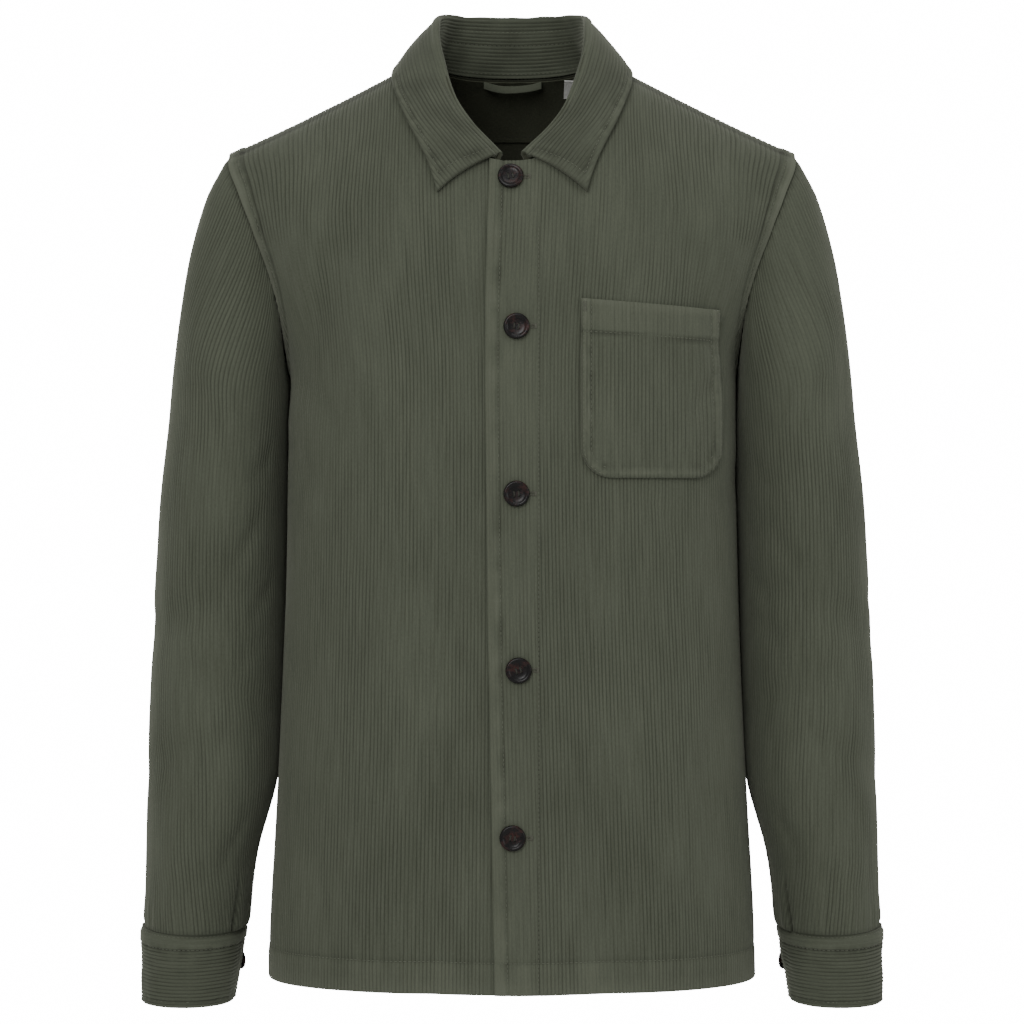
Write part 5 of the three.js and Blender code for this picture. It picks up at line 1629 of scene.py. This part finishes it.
def collar_sewing():
    patch = patches["collar_cloth"]
    inset = COLLAR_ROW / (patch.length * LEAF_STRETCH)
    inner = np.abs(patch.places) <= 1 - inset + 1e-9
    c = patch.places[inner]
    parts = [patch.row(c, patch.tops[inner] - COLLAR_ROW), patch.row(c, patch.bottoms[inner] + 3.5)]
    for sign in (-1, 1):
        which = int(np.argmin(np.abs(patch.places - sign * (1 - inset))))
        parts.append(patch.row(patch.places[which], np.linspace(5, patch.tops[which] - COLLAR_ROW, 30)))
    middle = patch.places[np.abs(patch.places) < STAND_ROWS_END]
    return parts + [patch.row(middle, r) for r in STAND_ROWS]


def pocket_line(inset):
    """x and level of a line down, round and up the pocket's sides, this far inside its edge."""
    left, right, corner = POCKET["left"], POCKET["right"], POCKET["corner"]
    start, radius = POCKET["bottom"] + corner, corner - inset
    turn = np.linspace(0, math.pi / 2, 14)
    x = np.concatenate([np.full(30, left + inset), left + corner - radius * np.cos(turn),
                        right - corner + radius * np.sin(turn), np.full(30, right - inset)])
    tops = POCKET["top"] - 2 - POCKET["outer_drop"] * np.array([0, 1])
    level = np.concatenate([np.linspace(tops[0], start, 30), start - radius * np.sin(turn),
                            start - radius * np.cos(turn), np.linspace(start, tops[1], 30)])
    return x, level


def pocket_sewing():
    patch = patches["pocket_cloth"]
    parts = [patch.row(*pocket_line(inset)) for inset in POCKET_ROWS]
    left, right = POCKET["left"] + 2.5, POCKET["right"] - 2.5
    x = np.linspace(left, right, 60)
    share = (x - POCKET["left"]) / (POCKET["right"] - POCKET["left"])
    parts.append(patch.row(x, POCKET["top"] - POCKET_HEM_ROW - POCKET["outer_drop"] * share))
    for x0, high in ((left, POCKET["top"] - 2.5), (right, POCKET["top"] - POCKET["outer_drop"] - 2.5)):
        centres, normals = patch.on(x0, high - np.arange(14) * 0.55, 0.3)
        parts.append(rods(centres, np.tile([1.0, 0, 0], (14, 1)), normals, 3.4))
    return parts


def buttonhole(x0, level):
    """Close stitches round a level slot under a front button, with a bar at its outer end."""
    patch = patches["front_left_cloth"]
    slot = np.arange(x0 - 9, x0 + 14, 0.62)
    bar = x0 + 14.2 + np.arange(3) * 0.5
    parts = []
    for xs, off, lift, lean, length, radius in ((slot, -1.0, 0.35, 0.06, 1.9, THREAD),
                                                (slot, 1.0, 0.35, 0.06, 1.9, THREAD),
                                                (bar, 0.0, 0.45, 0.0, 4.4, 0.32)):
        rise = rise_at(FRONT, np.full(len(xs), level + off))
        centres, normals = patch.on(part_at_x(xs, rise) + edge_shift(rise, patch.table), rise, lift)
        parts.append(rods(centres, np.tile([lean, 0, 1.0], (len(xs), 1)), normals, length, radius))
    return parts


def button_shape():
    """A four-hole button with a round rim and a dished middle, its back at z = 0, in millimetres."""
    profile = [(0.001, 0), (7.6, 0), (9, 0.3), (9.8, 1.0), (10, 1.7), (9.9, 2.5), (9.45, 3.2),
               (8.8, 3.56), (8.1, 3.55), (7.4, 3.2), (6.7, 2.7), (5.9, 2.45), (4, 2.32), (0.001, 2.25)]
    around = np.linspace(0, 2 * math.pi, 73)[:-1]
    rings = np.array([[(r * math.cos(a), r * math.sin(a), z) for a in around] for r, z in profile])
    body = tube_of(rings, "button", horn, {})
    holes = []
    spread = BUTTON_HOLE_SPREAD / 1000
    for side_x, side_y in ((1, 1), (-1, 1), (-1, -1), (1, -1)):
        bpy.ops.mesh.primitive_cylinder_add(vertices=20, radius=BUTTON_HOLE_RADIUS / 1000, depth=0.02,
                                            location=(side_x * spread, side_y * spread, 0))
        holes.append(bpy.context.object)
        cut = body.modifiers.new("hole", "BOOLEAN")
        cut.operation, cut.object, cut.solver = "DIFFERENCE", holes[-1], "EXACT"
    graph = bpy.context.evaluated_depsgraph_get()
    mesh = bpy.data.meshes.new_from_object(body.evaluated_get(graph))
    for obj in [body] + holes:
        bpy.data.objects.remove(obj)
    mesh.set_sharp_from_angle(angle=math.radians(35))
    mesh.materials.clear()
    mesh.materials.append(horn)
    return mesh


def seated(mesh, name, point, normal, twist, scale=1.0):
    """A copy of the button on a point, turned to the normal, and the matrix that took it there."""
    turn = Vector((0, 0, 1)).rotation_difference(Vector(normal)).to_matrix().to_4x4()
    spin = Matrix.Rotation(math.radians(twist), 4, "Z") @ Matrix.Scale(scale, 4)
    copy = mesh.copy()
    matrix = Matrix.Translation(Vector(point) / 1000) @ turn @ spin
    copy.transform(matrix)
    obj = bpy.data.objects.new(name, copy)
    bpy.context.scene.collection.objects.link(obj)
    return obj, matrix


def button_thread(matrix):
    """Two bars of thread over the middle and short strands down through the holes."""
    s = BUTTON_HOLE_SPREAD
    centres, directions = [], []
    for side in (-1, 1):
        for off in (-0.34, 0, 0.34):
            centres.append((side * s + off, 0, 2.5 + 0.12 * (off == 0)))
            directions.append((0.05 * off, 1, 0))
    upright = np.tile([0, 0, 1.0], (6, 1))
    bars = rods(np.array(centres), np.array(directions, float), upright, 2 * s + 1.1, 0.24)
    posts = np.array([(x * s, y * s, 0.9) for x in (-1, 1) for y in (-1, 1)])
    strands = rods(posts, np.tile([0.02, 0, 1.0], (4, 1)), np.tile([1.0, 0, 0], (4, 1)), 3.6, 0.5)
    points, faces = joined([bars, strands])
    return np.array([matrix @ Vector(p / 1000) for p in points]) * 1000, faces


BUTTON_TWISTS = (12, -7, 4, 16, -10)


def buttons():
    mesh = button_shape()
    made, threads = {}, []
    for k, (x, level) in enumerate(BUTTONS):
        rise = rise_at(FRONT, np.array([float(level)]))
        normal = torso_normal(FRONT, part_at_x(np.array([float(x)]), rise), rise)[0]
        point = over_front(np.array([float(x)]), np.array([float(level)]), BUTTON_STAND)[0]
        obj, matrix = seated(mesh, f"button_{k + 1}_horn", point, normal, BUTTON_TWISTS[k])
        made[f"button_{k + 1}"] = obj
        threads.append(button_thread(matrix))
    around = np.array([CUFF_END - CUFF_LAP / 2 + 4.0])
    level = np.array([lerp(*CUFF_LEVELS, 0.48)])
    seat = cuff_points(around, level, CUFF_BUTTON_STAND)
    out = unit(cuff_points(around, level, 4.0) - seat)
    for side, mirror in (("left", 1), ("right", -1)):
        turn = [mirror, 1, 1]
        obj, matrix = seated(mesh, f"cuff_button_{side}_horn", seat[0] * turn, out[0] * turn,
                             9 * mirror, CUFF_BUTTON_SCALE)
        made[f"cuff_button_{side}"] = obj
        threads.append(button_thread(matrix))
    return made, threads


pieces = {
    "front_left": front_panel("front_left_cloth", True),
    "front_right": front_panel("front_right_cloth", False),
    "back": back_panel(),
    "sleeve_left": sleeve("sleeve_left_cloth", 1),
    "sleeve_right": sleeve("sleeve_right_cloth", -1),
    "cuff_left": cuff("cuff_left_cloth", 1),
    "cuff_right": cuff("cuff_right_cloth", -1),
    "collar": collar(),
    "chest_pocket": pocket(),
    "neck_facing": neck_facing(),
    "hanger_loop": hanger_loop(),
    "neck_label": neck_label(),
}
button_pieces, button_threads = buttons()
SLOTS = {"neck_facing": "facing", "neck_label": "label"}
for node, piece in {**pieces, **button_pieces}.items():
    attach(piece, "root")
    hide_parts(node)
    "horn" if "button" in node else SLOTS.get(node, "corduroy")

sleeve_rows = []
for side_name in ("left", "right"):
    levels = np.linspace(SLEEVE[0][0] + 2, UNDERARM - 6, 200)
    rows = [patches[f"sleeve_{side_name}_cloth"].row(half_round(levels)[1][:, -1] - SEAM_ROW, levels)]
    around = np.linspace(CUFF_START + 6, CUFF_END - 6, 260)
    for level in [CUFF_LEVELS[1] - row for row in CUFF_ROWS] + [CUFF_LEVELS[0] + CUFF_HEM_ROW]:
        rows.append(patches[f"cuff_{side_name}_cloth"].row(around, level))
    sleeve_rows.append(sewing(f"sleeve_{side_name}_stitches", rows, olive_thread, side_name == "right"))
facing_patch = patches["neck_facing_cloth"]
facing_c = np.linspace(-FACING_REACH + 0.03, FACING_REACH - 0.03, 90)
facing_rows = [facing_patch.row(facing_c, facing_patch.bottom(facing_c) + FACING_ROW, 0.1)]
threads = [
    sewing("body_stitches", body_sewing(), olive_thread),
    sewing("collar_stitches", collar_sewing(), olive_thread),
    sewing("pocket_stitches", pocket_sewing(), olive_thread),
    sewing("buttonholes", [part for x, level in BUTTONS for part in buttonhole(x, level)], hole_thread),
    sewing("button_threads", button_threads, dark_thread),
    sewing("facing_stitches", facing_rows, dark_thread),
] + sleeve_rows
for piece in threads:
    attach(piece, "root")

# Floor and light
FLOOR_LEVEL = -1.06
bpy.ops.mesh.primitive_circle_add(vertices=96, radius=1.6, fill_type="NGON",
                                  location=(0, 0, FLOOR_LEVEL))
floor = bpy.context.object
floor.name = "floor"
floor_material, n, floor_shader = node_tree("floor")
floor_tone = n.mix(n.noise(n.place(2, 2, 2)), (0.8, 0.8, 0.79, 1), (0.84, 0.84, 0.83, 1))
n.put(floor_shader.inputs["Base Color"], floor_tone)
set_inputs(floor_shader, Roughness=0.9)
floor.data.materials.append(floor_material)

# Soft light all round, and a plain white backdrop that only the camera sees
world = bpy.data.worlds.new("studio")
world.use_nodes = True
tree = world.node_tree
ambient = tree.nodes["Background"]
set_inputs(ambient, Color=(1, 1, 1, 1), Strength=0.7)
backdrop = tree.nodes.new("ShaderNodeBackground")
set_inputs(backdrop, Color=(1, 1, 1, 1), Strength=16.0)
seen = tree.nodes.new("ShaderNodeLightPath")
blend = tree.nodes.new("ShaderNodeMixShader")
tree.links.new(seen.outputs["Is Camera Ray"], blend.inputs[0])
tree.links.new(ambient.outputs[0], blend.inputs[1])
tree.links.new(backdrop.outputs[0], blend.inputs[2])
tree.links.new(blend.outputs[0], tree.nodes["World Output"].inputs["Surface"])
bpy.context.scene.world = world


def area_light(name, at, target, size, power):
    data = bpy.data.lights.new(name, "AREA")
    data.shape = "RECTANGLE"
    data.size, data.size_y = size
    data.energy = power
    light = bpy.data.objects.new(name, data)
    light.location = at
    light.rotation_euler = (Vector(target) - Vector(at)).to_track_quat("-Z", "Y").to_euler()
    bpy.context.scene.collection.objects.link(light)


area_light("key", (-0.75, -2.6, 0.7), (0, 0, -0.3), (1.2, 1.2), 41)
area_light("fill", (2.4, -1.2, 0.1), (0, 0, -0.4), (1.4, 1.4), 14)
area_light("back", (-0.5, 2.4, 1.0), (0, 0, -0.3), (1.4, 1.4), 22)
area_light("top", (0.2, -1.2, 1.8), (0, 0, -0.3), (1.6, 1.0), 12)
